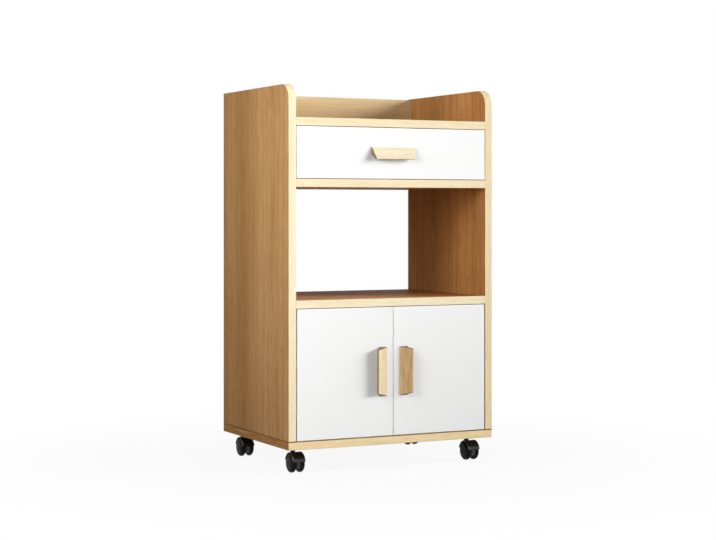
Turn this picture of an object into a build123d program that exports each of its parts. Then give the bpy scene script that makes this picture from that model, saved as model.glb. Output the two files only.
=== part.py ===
"""Small sideboard on casters: gallery top, one drawer, an open bay and a pair of doors.

The frame is millimetres, +X to the right, +Y to the back and +Z up, with the floor at Z = 0.
"""

import os
from math import cos, radians, sin, sqrt

from build123d import *

os.makedirs("parts", exist_ok=True)

# Carcass
cabinet_width = 450.0
cabinet_depth = 330.0
board = 16.0
cupboard_height = 254.0
open_bay_height = 217.0
drawer_bay_height = 102.0
gallery_height = 64.0
gallery_rail_drop = 2.0
panel_corner_radius = 32.0
edge_radius = 0.8

# Thin back panels, held in grooves
back_panel = 3.0
back_panel_inset = 8.0
groove_depth = 6.0
groove_clearance = 0.2
groove_end_clearance = 0.5

# Knock-down fittings between the boards
press_gap = 0.02
cam_diameter = 15.0
cam_skin = 3.5
cam_floor_gap = 0.3
cam_from_end = 24.0
cam_from_edge = 55.0
cam_cross_length = 8.0
cam_cross_width = 1.6
cam_cross_depth = 2.5
bolt_diameter = 5.0
bolt_thread_length = 11.0
bolt_head_diameter = 6.6
bolt_head_length = 3.0
bolt_head_clearance = 0.3
bolt_bore_diameter = 8.0
dowel_diameter = 8.0
dowel_in_panel = 10.0
dowel_in_board = 20.0
dowel_end_gap = 0.5
rail_cam_from_top = 24.0
rail_dowel_from_bottom = 16.0
base_screw_diameter = 6.0
base_screw_length = 48.0
base_screw_head_diameter = 10.0
base_screw_head_depth = 2.0
base_screw_socket = 4.0
base_screw_from_edge = 75.0
base_dowel_from_edge = 110.0

# Gaps round the drawer front and above and below the doors
front_gap = 1.0
front_edge_radius = 0.6

# Drawer box
drawer_front_thickness = 16.0
drawer_side_thickness = 12.0
drawer_side_height = 64.0
drawer_rear_gap = 28.0
drawer_back_thickness = 12.0
drawer_bottom = 3.0
drawer_bottom_height = 10.0
drawer_groove_depth = 5.0
drawer_dowel_diameter = 6.0
drawer_dowel_in_front = 10.0
drawer_dowel_in_side = 15.0
drawer_dowel_in_back = 17.0
drawer_dowel_through = 8.0
drawer_dowel_from_edge = 14.0

# Roller runners: one sheet-steel channel on each panel and one rail under each drawer side
runner_space = 12.5
sheet = 1.2
bend_radius = 1.0
runner_set_back = 3.0
runner_rear_gap = 50.0
runner_above_divider = 11.0
runner_lip = 4.0
runner_top_flange = 5.2
running_gap = 0.3
rail_set_back = 1.0
rail_shorter_by = 6.0
rail_top_flange = 6.2
rail_under_side = 10.0
drawer_above_runner = 3.0
roller_diameter = 17.0
roller_wall_gap = 2.1
roller_gap = 0.15
roller_from_end = 12.0
front_roller_rise = 2.2
runner_screw_hole = 4.2
runner_screw_from_end = 45.0
stub_diameter = 5.0
stub_clearance = 0.05

# Doors and their concealed hinges
door_thickness = 16.0
door_middle_gap = 1.6
door_hinge_gap = 2.0
hinge_from_door_end = 52.0
pin_from_edge = 15.0
pin_from_front = 7.5
pin_diameter = 3.5
pin_clearance = 0.05
cup_diameter = 35.0
cup_from_edge = 3.0
cup_front_skin = 3.2
cup_wall = 1.0
cup_floor = 0.8
cup_flange = 1.0
cup_flange_diameter = 38.0
cup_wing_length = 56.0
cup_wing_width = 13.0
cup_wing_offset = 9.5
cup_wing_radius = 4.0
cup_screw_spacing = 45.0
cup_screw_hole = 4.0
lug_gap = 0.6
lug_thickness = 3.0
lug_width = 8.0
lug_above_pin = 2.6
arm_width = 10.0
arm_thickness = 2.5
arm_eye_wall = 1.45
arm_swing_gap = 1.4
arm_mouth_angle = 30.0
arm_bend_radius = 2.5
arm_length = 72.0
arm_screw_hole = 4.4
plate_height = 6.75
plate_base = 2.0
plate_ridge_length = 36.0
plate_wing_length = 50.0
plate_wing_width = 16.0
plate_corner_radius = 4.0
plate_screw_spacing = 32.0
plate_screw_hole = 4.2

# Magnetic catch under the middle shelf, and its strike plates
catch_width = 46.0
catch_depth = 13.0
catch_height = 13.0
catch_gap = 0.2
catch_corner_radius = 1.0
strike_thickness = 1.2
strike_width = 14.0
strike_height = 12.0
strike_from_centre = 14.0
strike_from_top = 2.0

# Wooden handles
handle_length = 96.0
handle_tip_length = 83.0
handle_width = 24.0
handle_protrusion = 12.8
handle_thin_edge = 1.6
handle_groove_radius = 7.5
handle_nose_radius = 1.4
handle_screw_spacing = 64.0
handle_screw_hole = 4.5
handle_pilot_hole = 3.2
handle_pilot_depth = 4.5
door_handle_from_gap = 14.0

# Casters
neck_height = 8.6
caster_from_side = 31.0
front_stem_from_edge = 50.0
rear_stem_from_edge = 28.0
caster_trail = 12.5
wheel_diameter = 37.0
wheel_width = 10.5
wheel_spacing = 8.5
wheel_bevel = 2.8
wheel_dome = 1.2
wheel_side_gap = 0.5
wheel_axle_diameter = 5.0
wheel_axle_clearance = 0.05
wheel_axle_depth = 7.5
wheel_bore_end_gap = 0.5
hood_gap = 0.8
hood_wall = 1.6
hood_width = 26.0
hood_web_inset = 1.5
hood_web_above_floor = 9.5
hood_edge_height = 4.0
hood_edge_bevel = 0.8
boss_diameter = 10.0
boss_gap = 0.3
collar_across_flats = 11.0
collar_height = 3.0
stem_diameter = 5.0
stem_clearance = 0.05
stem_depth = 20.0
stem_thread_diameter = 8.0
stem_thread_end_gap = 0.5
insert_diameter = 11.0
insert_skin = 3.5
insert_flange_diameter = 18.0
insert_flange = 1.5

handle_offsets = (-handle_screw_spacing / 2, handle_screw_spacing / 2)

# Handle: a wooden wedge with mitred ends and a finger groove run along its underside;
# local X is its length, local Y goes from the protruding edge to the thin edge, local Z comes out
with BuildPart() as handle:
    with BuildSketch(Plane.YZ):
        with BuildLine():
            Polyline(
                (-handle_width / 2 + handle_groove_radius, 0),
                (handle_width / 2, 0),
                (handle_width / 2, handle_thin_edge),
                (-handle_width / 2, handle_protrusion),
                (-handle_width / 2, handle_groove_radius),
            )
            RadiusArc(
                (-handle_width / 2, handle_groove_radius),
                (-handle_width / 2 + handle_groove_radius, 0),
                handle_groove_radius,
            )
        make_face()
    extrude(amount=handle_length / 2, both=True)
    with BuildSketch(Plane.XZ):
        with BuildLine():
            Polyline(
                (-handle_length / 2, 0),
                (handle_length / 2, 0),
                (handle_tip_length / 2, handle_protrusion),
                (-handle_tip_length / 2, handle_protrusion),
                close=True,
            )
        make_face()
    extrude(amount=handle_width, both=True, mode=Mode.INTERSECT)
    nose = handle.edges().filter_by(Axis.X).sort_by(Axis.Z)[-1]
    fillet(nose, handle_nose_radius)
    with Locations(*[Plane(origin=(x, 0, 0), z_dir=(0, 0, -1)) for x in handle_offsets]):
        Hole(handle_pilot_hole / 2, depth=handle_pilot_depth)

# Levels and faces that follow from the sizes above
handle_tip = handle.part.bounding_box().max.Z
wheel_radius = wheel_diameter / 2
hood_radius = wheel_radius + hood_gap + hood_wall
caster_height = wheel_radius + hood_radius + neck_height
half_width = cabinet_width / 2
inner_half = half_width - board
front_y = (handle_tip - cabinet_depth) / 2
back_y = front_y + cabinet_depth
middle_y = front_y + cabinet_depth / 2
bottom_top = caster_height + board
middle_low = bottom_top + cupboard_height
middle_top = middle_low + board
divider_low = middle_top + open_bay_height
divider_top = divider_low + board
top_low = divider_top + drawer_bay_height
top_top = top_low + board
panel_top = top_top + gallery_height
groove_width = back_panel + 2 * groove_clearance
groove_y = back_y - back_panel_inset - back_panel / 2
groove_run = groove_depth - groove_end_clearance

sides = (("left", -1), ("right", 1))
cam_bore_depth = board - cam_skin
insert_length = board - insert_skin
stem_thread_length = insert_length - stem_thread_end_gap
cup_depth = door_thickness - cup_front_skin
back_panel_front_y = groove_y - back_panel / 2
cam_rows = (front_y + cam_from_edge, back_y - cam_from_edge)
gallery_front_y = back_y - board
rail_middle_y = back_y - board / 2
rail_top = panel_top - gallery_rail_drop
rail_cam_z = rail_top - rail_cam_from_top
rail_dowel_z = top_low + rail_dowel_from_bottom
base_screw_rows = (front_y + base_screw_from_edge, back_y - base_screw_from_edge)
base_dowel_rows = (front_y + base_dowel_from_edge, back_y - base_dowel_from_edge)

# Each shelf's name, underside, rear edge and the face that its cams are let into: 1 upper, -1 lower
shelves = (
    ("top_shelf", top_low, gallery_front_y, -1),
    ("drawer_divider_shelf", divider_low, back_y, 1),
    ("middle_shelf", middle_low, back_y, -1),
)
shelf_middles = [low + board / 2 for name, low, rear_y, worked in shelves]


def save(piece, name):
    """Label a finished piece and write it to its own file."""
    piece.part.label = name
    export_step(piece.part, f"parts/{name}.step")


# Side panels: rounded at the front top corner, standing on the bottom board
for side, sign in sides:
    inner_x = sign * inner_half
    with BuildPart() as side_panel:
        with BuildSketch(Plane.YZ.offset(sign * half_width)) as outline:
            with Locations((middle_y, (bottom_top + panel_top) / 2)):
                Rectangle(cabinet_depth, panel_top - bottom_top)
            top_corners = outline.vertices().group_by(Axis.Y)[-1]
            fillet(top_corners.sort_by(Axis.X)[0], panel_corner_radius)
        extrude(amount=-sign * board)
        inner_face, outer_face = side_panel.faces().filter_by(Axis.X).sort_by(lambda f: abs(f.center().X))
        rims = inner_face.edges().filter_by(lambda e: e.center().Z > bottom_top + edge_radius)
        rims += outer_face.edges()
        fillet(rims.filter_by(lambda e: e.center().Y < back_y - edge_radius), edge_radius)
        # Stopped grooves for the two back panels
        groove_x = inner_x + sign * groove_depth / 2
        with Locations((groove_x, groove_y, (divider_top + top_low) / 2)):
            Box(groove_depth, groove_width, drawer_bay_height + 2 * groove_depth, mode=Mode.SUBTRACT)
        with Locations((groove_x, groove_y, (bottom_top + middle_low) / 2)):
            Box(groove_depth, groove_width, cupboard_height + 2 * groove_depth, mode=Mode.SUBTRACT)
        # Drillings for the cam bolts and dowels at each shelf and at the gallery rail
        bolt_points = [(y, z) for z in shelf_middles for y in cam_rows]
        bolt_points.append((rail_middle_y, rail_cam_z))
        with Locations(*[Plane(origin=(inner_x, y, z), z_dir=(-sign, 0, 0)) for y, z in bolt_points]):
            Hole(bolt_diameter / 2 + press_gap, depth=bolt_thread_length)
        dowel_points = [(middle_y, z) for z in shelf_middles]
        dowel_points.append((rail_middle_y, rail_dowel_z))
        with Locations(*[Plane(origin=(inner_x, y, z), z_dir=(-sign, 0, 0)) for y, z in dowel_points]):
            Hole(dowel_diameter / 2 + press_gap, depth=dowel_in_panel)
        # Drillings in the foot for the base screws and dowels
        foot_x = sign * (half_width - board / 2)
        with Locations(*[Plane(origin=(foot_x, y, bottom_top), z_dir=(0, 0, -1)) for y in base_screw_rows]):
            Hole(base_screw_diameter / 2 + press_gap, depth=base_screw_length - board)
        with Locations(*[Plane(origin=(foot_x, y, bottom_top), z_dir=(0, 0, -1)) for y in base_dowel_rows]):
            Hole(dowel_diameter / 2 + press_gap, depth=dowel_in_board)
    save(side_panel, f"{side}_side_panel")

# Shelves between the panels, with the cam housings and any back panel groove in one face
for name, low, rear_y, worked in shelves:
    middle_z = low + board / 2
    worked_z = middle_z + worked * board / 2
    with BuildPart() as shelf:
        with Locations((0, (front_y + rear_y) / 2, middle_z)):
            Box(2 * inner_half, rear_y - front_y, board)
        front_face = shelf.faces().sort_by(Axis.Y)[0]
        fillet(front_face.edges().filter_by(Axis.X), edge_radius)
        if rear_y > groove_y:
            with Locations((0, groove_y, worked_z - worked * groove_depth / 2)):
                Box(2 * inner_half, groove_width, groove_depth, mode=Mode.SUBTRACT)
        for side, sign in sides:
            end_x = sign * inner_half
            cam_x = end_x - sign * cam_from_end
            with Locations(*[Plane(origin=(cam_x, y, worked_z), z_dir=(0, 0, worked)) for y in cam_rows]):
                Hole(cam_diameter / 2, depth=cam_bore_depth)
            with Locations(*[Plane(origin=(end_x, y, middle_z), z_dir=(sign, 0, 0)) for y in cam_rows]):
                Hole(bolt_bore_diameter / 2, depth=cam_from_end)
            with Locations(Plane(origin=(end_x, middle_y, middle_z), z_dir=(sign, 0, 0))):
                Hole(dowel_diameter / 2 + press_gap, depth=dowel_in_board)
    save(shelf, name)

# Bottom board: full width, under the side panels, drilled for screws, dowels and caster inserts
stem_points = {
    "front_left": (-half_width + caster_from_side, front_y + front_stem_from_edge),
    "front_right": (half_width - caster_from_side, front_y + front_stem_from_edge),
    "rear_left": (-half_width + caster_from_side, back_y - rear_stem_from_edge),
    "rear_right": (half_width - caster_from_side, back_y - rear_stem_from_edge),
}
insert_planes = [Plane(origin=(x, y, caster_height), z_dir=(0, 0, -1)) for x, y in stem_points.values()]
foot_lines = (-half_width + board / 2, half_width - board / 2)
with BuildPart() as bottom_board:
    with Locations((0, middle_y, caster_height + board / 2)):
        Box(cabinet_width, cabinet_depth, board)
    fillet(bottom_board.edges().filter_by(lambda e: e.center().Y < back_y - edge_radius), edge_radius)
    with Locations((0, groove_y, bottom_top - groove_depth / 2)):
        Box(2 * (inner_half + groove_depth), groove_width, groove_depth, mode=Mode.SUBTRACT)
    screw_planes = [
        Plane(origin=(x, y, caster_height), z_dir=(0, 0, -1)) for x in foot_lines for y in base_screw_rows
    ]
    with Locations(*screw_planes):
        CounterBoreHole(
            base_screw_diameter / 2 + press_gap,
            base_screw_head_diameter / 2 + press_gap,
            base_screw_head_depth,
        )
    dowel_planes = [
        Plane(origin=(x, y, bottom_top), z_dir=(0, 0, 1)) for x in foot_lines for y in base_dowel_rows
    ]
    with Locations(*dowel_planes):
        Hole(dowel_diameter / 2 + press_gap, depth=dowel_in_panel)
    with Locations(*insert_planes):
        CounterBoreHole(
            insert_diameter / 2 + press_gap,
            insert_flange_diameter / 2 + press_gap,
            insert_flange,
            depth=insert_length + cam_floor_gap,
        )
save(bottom_board, "bottom_board")

# Gallery rail behind the top shelf, grooved below for the drawer bay's back panel
with BuildPart() as gallery_back_rail:
    with Locations((0, rail_middle_y, (top_low + rail_top) / 2)):
        Box(2 * inner_half, board, rail_top - top_low)
    top_face = gallery_back_rail.faces().sort_by(Axis.Z)[-1]
    fillet(top_face.edges().filter_by(Axis.X), edge_radius)
    with Locations((0, groove_y, top_low + groove_depth / 2)):
        Box(2 * inner_half, groove_width, groove_depth, mode=Mode.SUBTRACT)
    for side, sign in sides:
        end_x = sign * inner_half
        with Locations(Plane(origin=(end_x - sign * cam_from_end, back_y, rail_cam_z), z_dir=(0, 1, 0))):
            Hole(cam_diameter / 2, depth=cam_bore_depth)
        with Locations(Plane(origin=(end_x, rail_middle_y, rail_cam_z), z_dir=(sign, 0, 0))):
            Hole(bolt_bore_diameter / 2, depth=cam_from_end)
        with Locations(Plane(origin=(end_x, rail_middle_y, rail_dowel_z), z_dir=(sign, 0, 0))):
            Hole(dowel_diameter / 2 + press_gap, depth=dowel_in_board)
save(gallery_back_rail, "gallery_back_rail")

# Back panels, behind the drawer and behind the doors only: the bay between them is open
back_panels = (
    ("drawer_bay_back_panel", divider_top, top_low),
    ("cupboard_back_panel", bottom_top, middle_low),
)
for name, low, high in back_panels:
    with BuildPart() as thin_back:
        with Locations((0, groove_y, (low + high) / 2)):
            Box(2 * (inner_half + groove_run), back_panel, high - low + 2 * groove_run)
    save(thin_back, name)

# Cam lock: a barrel whose mouth holds the bolt behind its head, with a cross for the driver
with BuildPart() as cam_lock:
    Cylinder(
        cam_diameter / 2 - press_gap,
        cam_bore_depth - cam_floor_gap,
        align=(Align.CENTER, Align.CENTER, Align.MIN),
    )
    mouth = bolt_diameter + 2 * bolt_head_clearance
    with Locations((-cam_diameter / 4, 0, board / 2)):
        Box(cam_diameter / 2, mouth, mouth, mode=Mode.SUBTRACT)
    pocket = bolt_head_diameter + 2 * bolt_head_clearance
    pocket_length = bolt_head_length + bolt_head_clearance
    with Locations((-pocket_length / 2, 0, board / 2)):
        Box(pocket_length, pocket, pocket, mode=Mode.SUBTRACT)
    with BuildSketch():
        Rectangle(cam_cross_length, cam_cross_width)
        Rectangle(cam_cross_width, cam_cross_length)
    extrude(amount=cam_cross_depth, mode=Mode.SUBTRACT)

# Cam bolt: driven into the panel, with a round head
with BuildPart() as cam_bolt:
    with BuildSketch():
        with BuildLine():
            Polyline(
                (-bolt_thread_length + dowel_end_gap, 0),
                (-bolt_thread_length + dowel_end_gap, bolt_diameter / 2),
                (cam_from_end - bolt_head_length, bolt_diameter / 2),
                (cam_from_end - bolt_head_length, bolt_head_diameter / 2),
                (cam_from_end - bolt_head_clearance, bolt_head_diameter / 2),
                (cam_from_end - bolt_head_clearance, 0),
                close=True,
            )
        make_face()
    revolve(axis=Axis.X)

cam_places = []
bolt_places = []
dowel_places = []
for side, sign in sides:
    inward = (-sign, 0, 0)
    end_x = sign * inner_half
    cam_x = end_x - sign * cam_from_end
    for name, low, rear_y, worked in shelves:
        middle_z = low + board / 2
        for y in cam_rows:
            cam_point = (cam_x, y, middle_z + worked * board / 2)
            cam_places.append(Plane(origin=cam_point, x_dir=inward, z_dir=(0, 0, -worked)))
            bolt_places.append(Plane(origin=(end_x, y, middle_z), x_dir=inward, z_dir=(0, 0, 1)))
        dowel_places.append(Plane(origin=(end_x, middle_y, middle_z), z_dir=inward))
    cam_places.append(Plane(origin=(cam_x, back_y, rail_cam_z), x_dir=inward, z_dir=(0, -1, 0)))
    bolt_places.append(Plane(origin=(end_x, rail_middle_y, rail_cam_z), x_dir=inward, z_dir=(0, 0, 1)))
    dowel_places.append(Plane(origin=(end_x, rail_middle_y, rail_dowel_z), z_dir=inward))
for x in foot_lines:
    for y in base_dowel_rows:
        dowel_places.append(Plane(origin=(x, y, bottom_top), z_dir=(0, 0, 1)))

with BuildPart() as cam_locks:
    with Locations(*cam_places):
        add(cam_lock.part)
save(cam_locks, "cam_locks")

with BuildPart() as cam_bolts:
    with Locations(*bolt_places):
        add(cam_bolt.part)
save(cam_bolts, "cam_bolts")

# Wooden dowels that line the boards up, each centred on its joint face
with BuildPart() as wooden_dowels:
    for place in dowel_places:
        with BuildSketch(place.offset(dowel_end_gap - dowel_in_panel)):
            Circle(dowel_diameter / 2)
        extrude(amount=dowel_in_panel + dowel_in_board - 2 * dowel_end_gap)
save(wooden_dowels, "wooden_dowels")

# Screws up through the bottom board into the feet of the panels
with BuildPart() as base_screw:
    with BuildSketch(Plane.XZ):
        with BuildLine():
            Polyline(
                (0, 0),
                (base_screw_head_diameter / 2, 0),
                (base_screw_head_diameter / 2, base_screw_head_depth),
                (base_screw_diameter / 2, base_screw_head_depth),
                (base_screw_diameter / 2, base_screw_length - base_screw_diameter),
                (0, base_screw_length - dowel_end_gap),
                close=True,
            )
        make_face()
    revolve(axis=Axis.Z)
    with BuildSketch():
        RegularPolygon(base_screw_socket / 2, 6)
    extrude(amount=base_screw_head_depth, mode=Mode.SUBTRACT)
with BuildPart() as bottom_board_screws:
    with Locations(*[(x, y, caster_height) for x in foot_lines for y in base_screw_rows]):
        add(base_screw.part)
save(bottom_board_screws, "bottom_board_screws")

# Drawer front and box
drawer_middle_z = (divider_top + top_low) / 2
drawer_rear_y = front_y + drawer_front_thickness
box_half = inner_half - runner_space
side_low = divider_top + runner_above_divider + drawer_above_runner
side_high = side_low + drawer_side_height
side_end_y = back_panel_front_y - drawer_rear_gap
drawer_side_length = side_end_y - drawer_rear_y
side_middle_x = box_half - drawer_side_thickness / 2
side_middle_y = (drawer_rear_y + side_end_y) / 2
bottom_z = side_low + drawer_bottom_height
drawer_groove = drawer_bottom + 2 * groove_clearance
bottom_half = box_half - drawer_side_thickness + drawer_groove_depth - groove_end_clearance
back_low = bottom_z + drawer_groove / 2 + drawer_bottom / 2
drawer_dowel_rows = (bottom_z + drawer_dowel_from_edge, side_high - drawer_dowel_from_edge)
drawer_back_y = side_end_y - drawer_back_thickness / 2

with BuildPart() as drawer_front:
    with Locations((0, front_y + drawer_front_thickness / 2, drawer_middle_z)):
        Box(2 * (inner_half - front_gap), drawer_front_thickness, drawer_bay_height - 2 * front_gap)
    fillet(drawer_front.faces().sort_by(Axis.Y)[0].edges(), front_edge_radius)
    with Locations((0, drawer_rear_y - drawer_groove_depth / 2, bottom_z + drawer_groove / 2)):
        Box(2 * (box_half - drawer_side_thickness), drawer_groove_depth, drawer_groove, mode=Mode.SUBTRACT)
    for side, sign in sides:
        joint_points = [(sign * side_middle_x, drawer_rear_y, z) for z in drawer_dowel_rows]
        with Locations(*[Plane(origin=point, z_dir=(0, 1, 0)) for point in joint_points]):
            Hole(drawer_dowel_diameter / 2 + press_gap, depth=drawer_dowel_in_front)
    handle_points = [(x, front_y, drawer_middle_z) for x in handle_offsets]
    with Locations(*[Plane(origin=point, z_dir=(0, -1, 0)) for point in handle_points]):
        Hole(handle_screw_hole / 2, depth=drawer_front_thickness)
save(drawer_front, "drawer_front")

for side, sign in sides:
    inner_x = sign * (box_half - drawer_side_thickness)
    with BuildPart() as drawer_side:
        with Locations((sign * side_middle_x, side_middle_y, (side_low + side_high) / 2)):
            Box(drawer_side_thickness, drawer_side_length, drawer_side_height)
        fillet(drawer_side.edges().filter_by(Axis.Y), edge_radius)
        groove_x = inner_x + sign * drawer_groove_depth / 2
        with Locations((groove_x, side_middle_y, bottom_z + drawer_groove / 2)):
            Box(drawer_groove_depth, drawer_side_length, drawer_groove, mode=Mode.SUBTRACT)
        joint_points = [(sign * side_middle_x, drawer_rear_y, z) for z in drawer_dowel_rows]
        with Locations(*[Plane(origin=point, z_dir=(0, -1, 0)) for point in joint_points]):
            Hole(drawer_dowel_diameter / 2 + press_gap, depth=drawer_dowel_in_side)
        back_points = [(inner_x, drawer_back_y, z) for z in drawer_dowel_rows]
        with Locations(*[Plane(origin=point, z_dir=(-sign, 0, 0)) for point in back_points]):
            Hole(drawer_dowel_diameter / 2 + press_gap, depth=drawer_dowel_through)
    save(drawer_side, f"drawer_{side}_side")

with BuildPart() as drawer_back:
    with Locations((0, drawer_back_y, (back_low + side_high) / 2)):
        Box(2 * (box_half - drawer_side_thickness), drawer_back_thickness, side_high - back_low)
    fillet(drawer_back.faces().sort_by(Axis.Z)[-1].edges().filter_by(Axis.X), edge_radius)
    for side, sign in sides:
        end_x = sign * (box_half - drawer_side_thickness)
        end_points = [(end_x, drawer_back_y, z) for z in drawer_dowel_rows]
        with Locations(*[Plane(origin=point, z_dir=(sign, 0, 0)) for point in end_points]):
            Hole(drawer_dowel_diameter / 2 + press_gap, depth=drawer_dowel_in_back)
save(drawer_back, "drawer_back")

bottom_front_y = drawer_rear_y - drawer_groove_depth + groove_end_clearance
with BuildPart() as drawer_base:
    with Locations((0, (bottom_front_y + side_end_y) / 2, bottom_z + drawer_groove / 2)):
        Box(2 * bottom_half, side_end_y - bottom_front_y, drawer_bottom)
    # The front edge is notched where the sides butt against the drawer front
    notch = bottom_half - box_half + drawer_side_thickness
    for side, sign in sides:
        with Locations((sign * (bottom_half - notch / 2), bottom_front_y, bottom_z + drawer_groove / 2)):
            Box(notch, 2 * drawer_groove_depth, drawer_bottom, mode=Mode.SUBTRACT)
save(drawer_base, "drawer_bottom")

with BuildPart() as drawer_dowels:
    for side, sign in sides:
        for z in drawer_dowel_rows:
            front_joint = Plane(origin=(sign * side_middle_x, drawer_rear_y, z), z_dir=(0, 1, 0))
            with BuildSketch(front_joint.offset(dowel_end_gap - drawer_dowel_in_front)):
                Circle(drawer_dowel_diameter / 2)
            extrude(amount=drawer_dowel_in_front + drawer_dowel_in_side - 2 * dowel_end_gap)
            inner_x = sign * (box_half - drawer_side_thickness)
            back_joint = Plane(origin=(inner_x, drawer_back_y, z), z_dir=(-sign, 0, 0))
            with BuildSketch(back_joint.offset(dowel_end_gap - drawer_dowel_through)):
                Circle(drawer_dowel_diameter / 2)
            extrude(amount=drawer_dowel_through + drawer_dowel_in_back - 2 * dowel_end_gap)
save(drawer_dowels, "drawer_dowels")

# Runners: the channel on the panel carries a roller at its front end, and the rail under the
# drawer side carries one at its rear end that runs inside the channel
runner_low = divider_top + runner_above_divider
runner_front_y = drawer_rear_y + runner_set_back
runner_rear_y = back_panel_front_y - runner_rear_gap
rail_front_y = drawer_rear_y + rail_set_back
rail_rear_y = runner_rear_y - rail_shorter_by
roller_radius = roller_diameter / 2
rear_roller_y = rail_rear_y - roller_from_end
rear_roller_z = runner_low + sheet + roller_gap + roller_radius
channel_top = rear_roller_z + roller_radius + running_gap + sheet
front_roller_y = runner_front_y + roller_from_end
front_roller_z = rear_roller_z + front_roller_rise
rail_flange_low = front_roller_z + roller_radius + roller_gap
lip_middle = runner_space - sheet - running_gap - sheet / 2
roller_start = sheet + roller_wall_gap
roller_width = lip_middle - sheet / 2 - running_gap - roller_start
rail_web = runner_space - sheet / 2


def across(sign, distance):
    """X at a distance from a panel's inner face towards the drawer."""
    return sign * (inner_half - distance)


def screw_row(start, end):
    """Three places along a runner: near each end and in the middle."""
    return (start + runner_screw_from_end, (start + end) / 2, end - runner_screw_from_end)


for side, sign in sides:
    inward = (-sign, 0, 0)
    outward = (sign, 0, 0)
    with BuildPart() as drawer_runner:
        with BuildSketch(Plane.XZ.offset(-runner_rear_y)):
            with BuildLine():
                FilletPolyline(
                    (across(sign, lip_middle), runner_low + runner_lip),
                    (across(sign, lip_middle), runner_low + sheet / 2),
                    (across(sign, sheet / 2), runner_low + sheet / 2),
                    (across(sign, sheet / 2), channel_top - sheet / 2),
                    (across(sign, runner_top_flange), channel_top - sheet / 2),
                    radius=bend_radius,
                )
            trace(line_width=sheet)
        extrude(amount=runner_rear_y - runner_front_y)
        # The top flange stops short of the front roller
        relief = roller_from_end + roller_radius + 2 * running_gap
        relief_low = rear_roller_z + roller_radius
        relief_x = across(sign, sheet + runner_top_flange / 2)
        with Locations((relief_x, runner_front_y + relief / 2, relief_low)):
            Box(
                runner_top_flange,
                relief,
                2 * (channel_top - relief_low),
                align=(Align.CENTER, Align.CENTER, Align.MIN),
                mode=Mode.SUBTRACT,
            )
        # Riveted stub that the front roller turns on
        stub_point = (across(sign, sheet / 2), front_roller_y, front_roller_z)
        with BuildSketch(Plane(origin=stub_point, z_dir=inward)):
            Circle(stub_diameter / 2)
        extrude(amount=roller_start + roller_width - sheet / 2)
        # Screw holes along the web
        web_x = across(sign, sheet)
        screw_points = [(web_x, y, rear_roller_z) for y in screw_row(runner_front_y, runner_rear_y)]
        with Locations(*[Plane(origin=point, z_dir=inward) for point in screw_points]):
            Hole(runner_screw_hole / 2, depth=sheet)
    save(drawer_runner, f"{side}_drawer_runner")

    with BuildPart() as drawer_rail:
        with BuildSketch(Plane.XZ.offset(-rail_rear_y)):
            with BuildLine():
                FilletPolyline(
                    (across(sign, runner_space + rail_under_side), side_low - sheet / 2),
                    (across(sign, rail_web), side_low - sheet / 2),
                    (across(sign, rail_web), rail_flange_low + sheet / 2),
                    (across(sign, runner_space - rail_top_flange), rail_flange_low + sheet / 2),
                    radius=bend_radius,
                )
            trace(line_width=sheet)
        extrude(amount=rail_rear_y - rail_front_y)
        # Riveted stub that the rear roller turns on
        stub_point = (across(sign, rail_web), rear_roller_y, rear_roller_z)
        with BuildSketch(Plane(origin=stub_point, z_dir=outward)):
            Circle(stub_diameter / 2)
        extrude(amount=rail_web - roller_start)
        # Screw holes up into the drawer side
        screw_x = across(sign, runner_space + rail_under_side / 2)
        screw_points = [(screw_x, y, side_low - sheet) for y in screw_row(rail_front_y, rail_rear_y)]
        with Locations(*[Plane(origin=point, z_dir=(0, 0, -1)) for point in screw_points]):
            Hole(runner_screw_hole / 2, depth=sheet)
    save(drawer_rail, f"{side}_drawer_rail")

    # Rollers: plain rings with softened rims
    roller_places = (
        (f"{side}_runner_roller", front_roller_y, front_roller_z),
        (f"{side}_rail_roller", rear_roller_y, rear_roller_z),
    )
    for name, y, z in roller_places:
        with BuildPart() as roller:
            with BuildSketch(Plane(origin=(across(sign, roller_start), y, z), z_dir=inward)):
                Circle(roller_radius)
                Circle(stub_diameter / 2 + stub_clearance, mode=Mode.SUBTRACT)
            extrude(amount=roller_width)
            outer_rims = roller.edges().filter_by(GeomType.CIRCLE).sort_by(SortBy.RADIUS)[-2:]
            chamfer(outer_rims, edge_radius)
        save(roller, name)

# Doors, inset flush with the front
door_width = inner_half - door_hinge_gap - door_middle_gap / 2
door_low = bottom_top + front_gap
door_high = middle_low - front_gap
door_height = door_high - door_low
door_middle_z = (door_low + door_high) / 2
door_rear_y = front_y + door_thickness
hinge_heights = (door_low + hinge_from_door_end, door_high - hinge_from_door_end)
pin_x = inner_half - door_hinge_gap - pin_from_edge
pin_y = front_y + pin_from_front
pin_to_inner_face = door_thickness - pin_from_front
cup_x = inner_half - door_hinge_gap - cup_from_edge - cup_diameter / 2
cup_to_pin = pin_x - cup_x
door_handle_x = door_middle_gap / 2 + door_handle_from_gap + handle_width / 2
door_handle_rows = (door_middle_z - handle_screw_spacing / 2, door_middle_z + handle_screw_spacing / 2)

for side, sign in sides:
    with BuildPart() as door:
        door_middle_x = sign * (door_middle_gap + door_width) / 2
        with Locations((door_middle_x, front_y + door_thickness / 2, door_middle_z)):
            Box(door_width, door_thickness, door_height)
        fillet(door.faces().sort_by(Axis.Y)[0].edges(), front_edge_radius)
        cup_points = [(sign * cup_x, door_rear_y, z) for z in hinge_heights]
        with Locations(*[Plane(origin=point, z_dir=(0, 1, 0)) for point in cup_points]):
            Hole(cup_diameter / 2, depth=cup_depth)
        handle_points = [(sign * door_handle_x, front_y, z) for z in door_handle_rows]
        with Locations(*[Plane(origin=point, z_dir=(0, -1, 0)) for point in handle_points]):
            Hole(handle_screw_hole / 2, depth=door_thickness)
    save(door, f"{side}_door")

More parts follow.
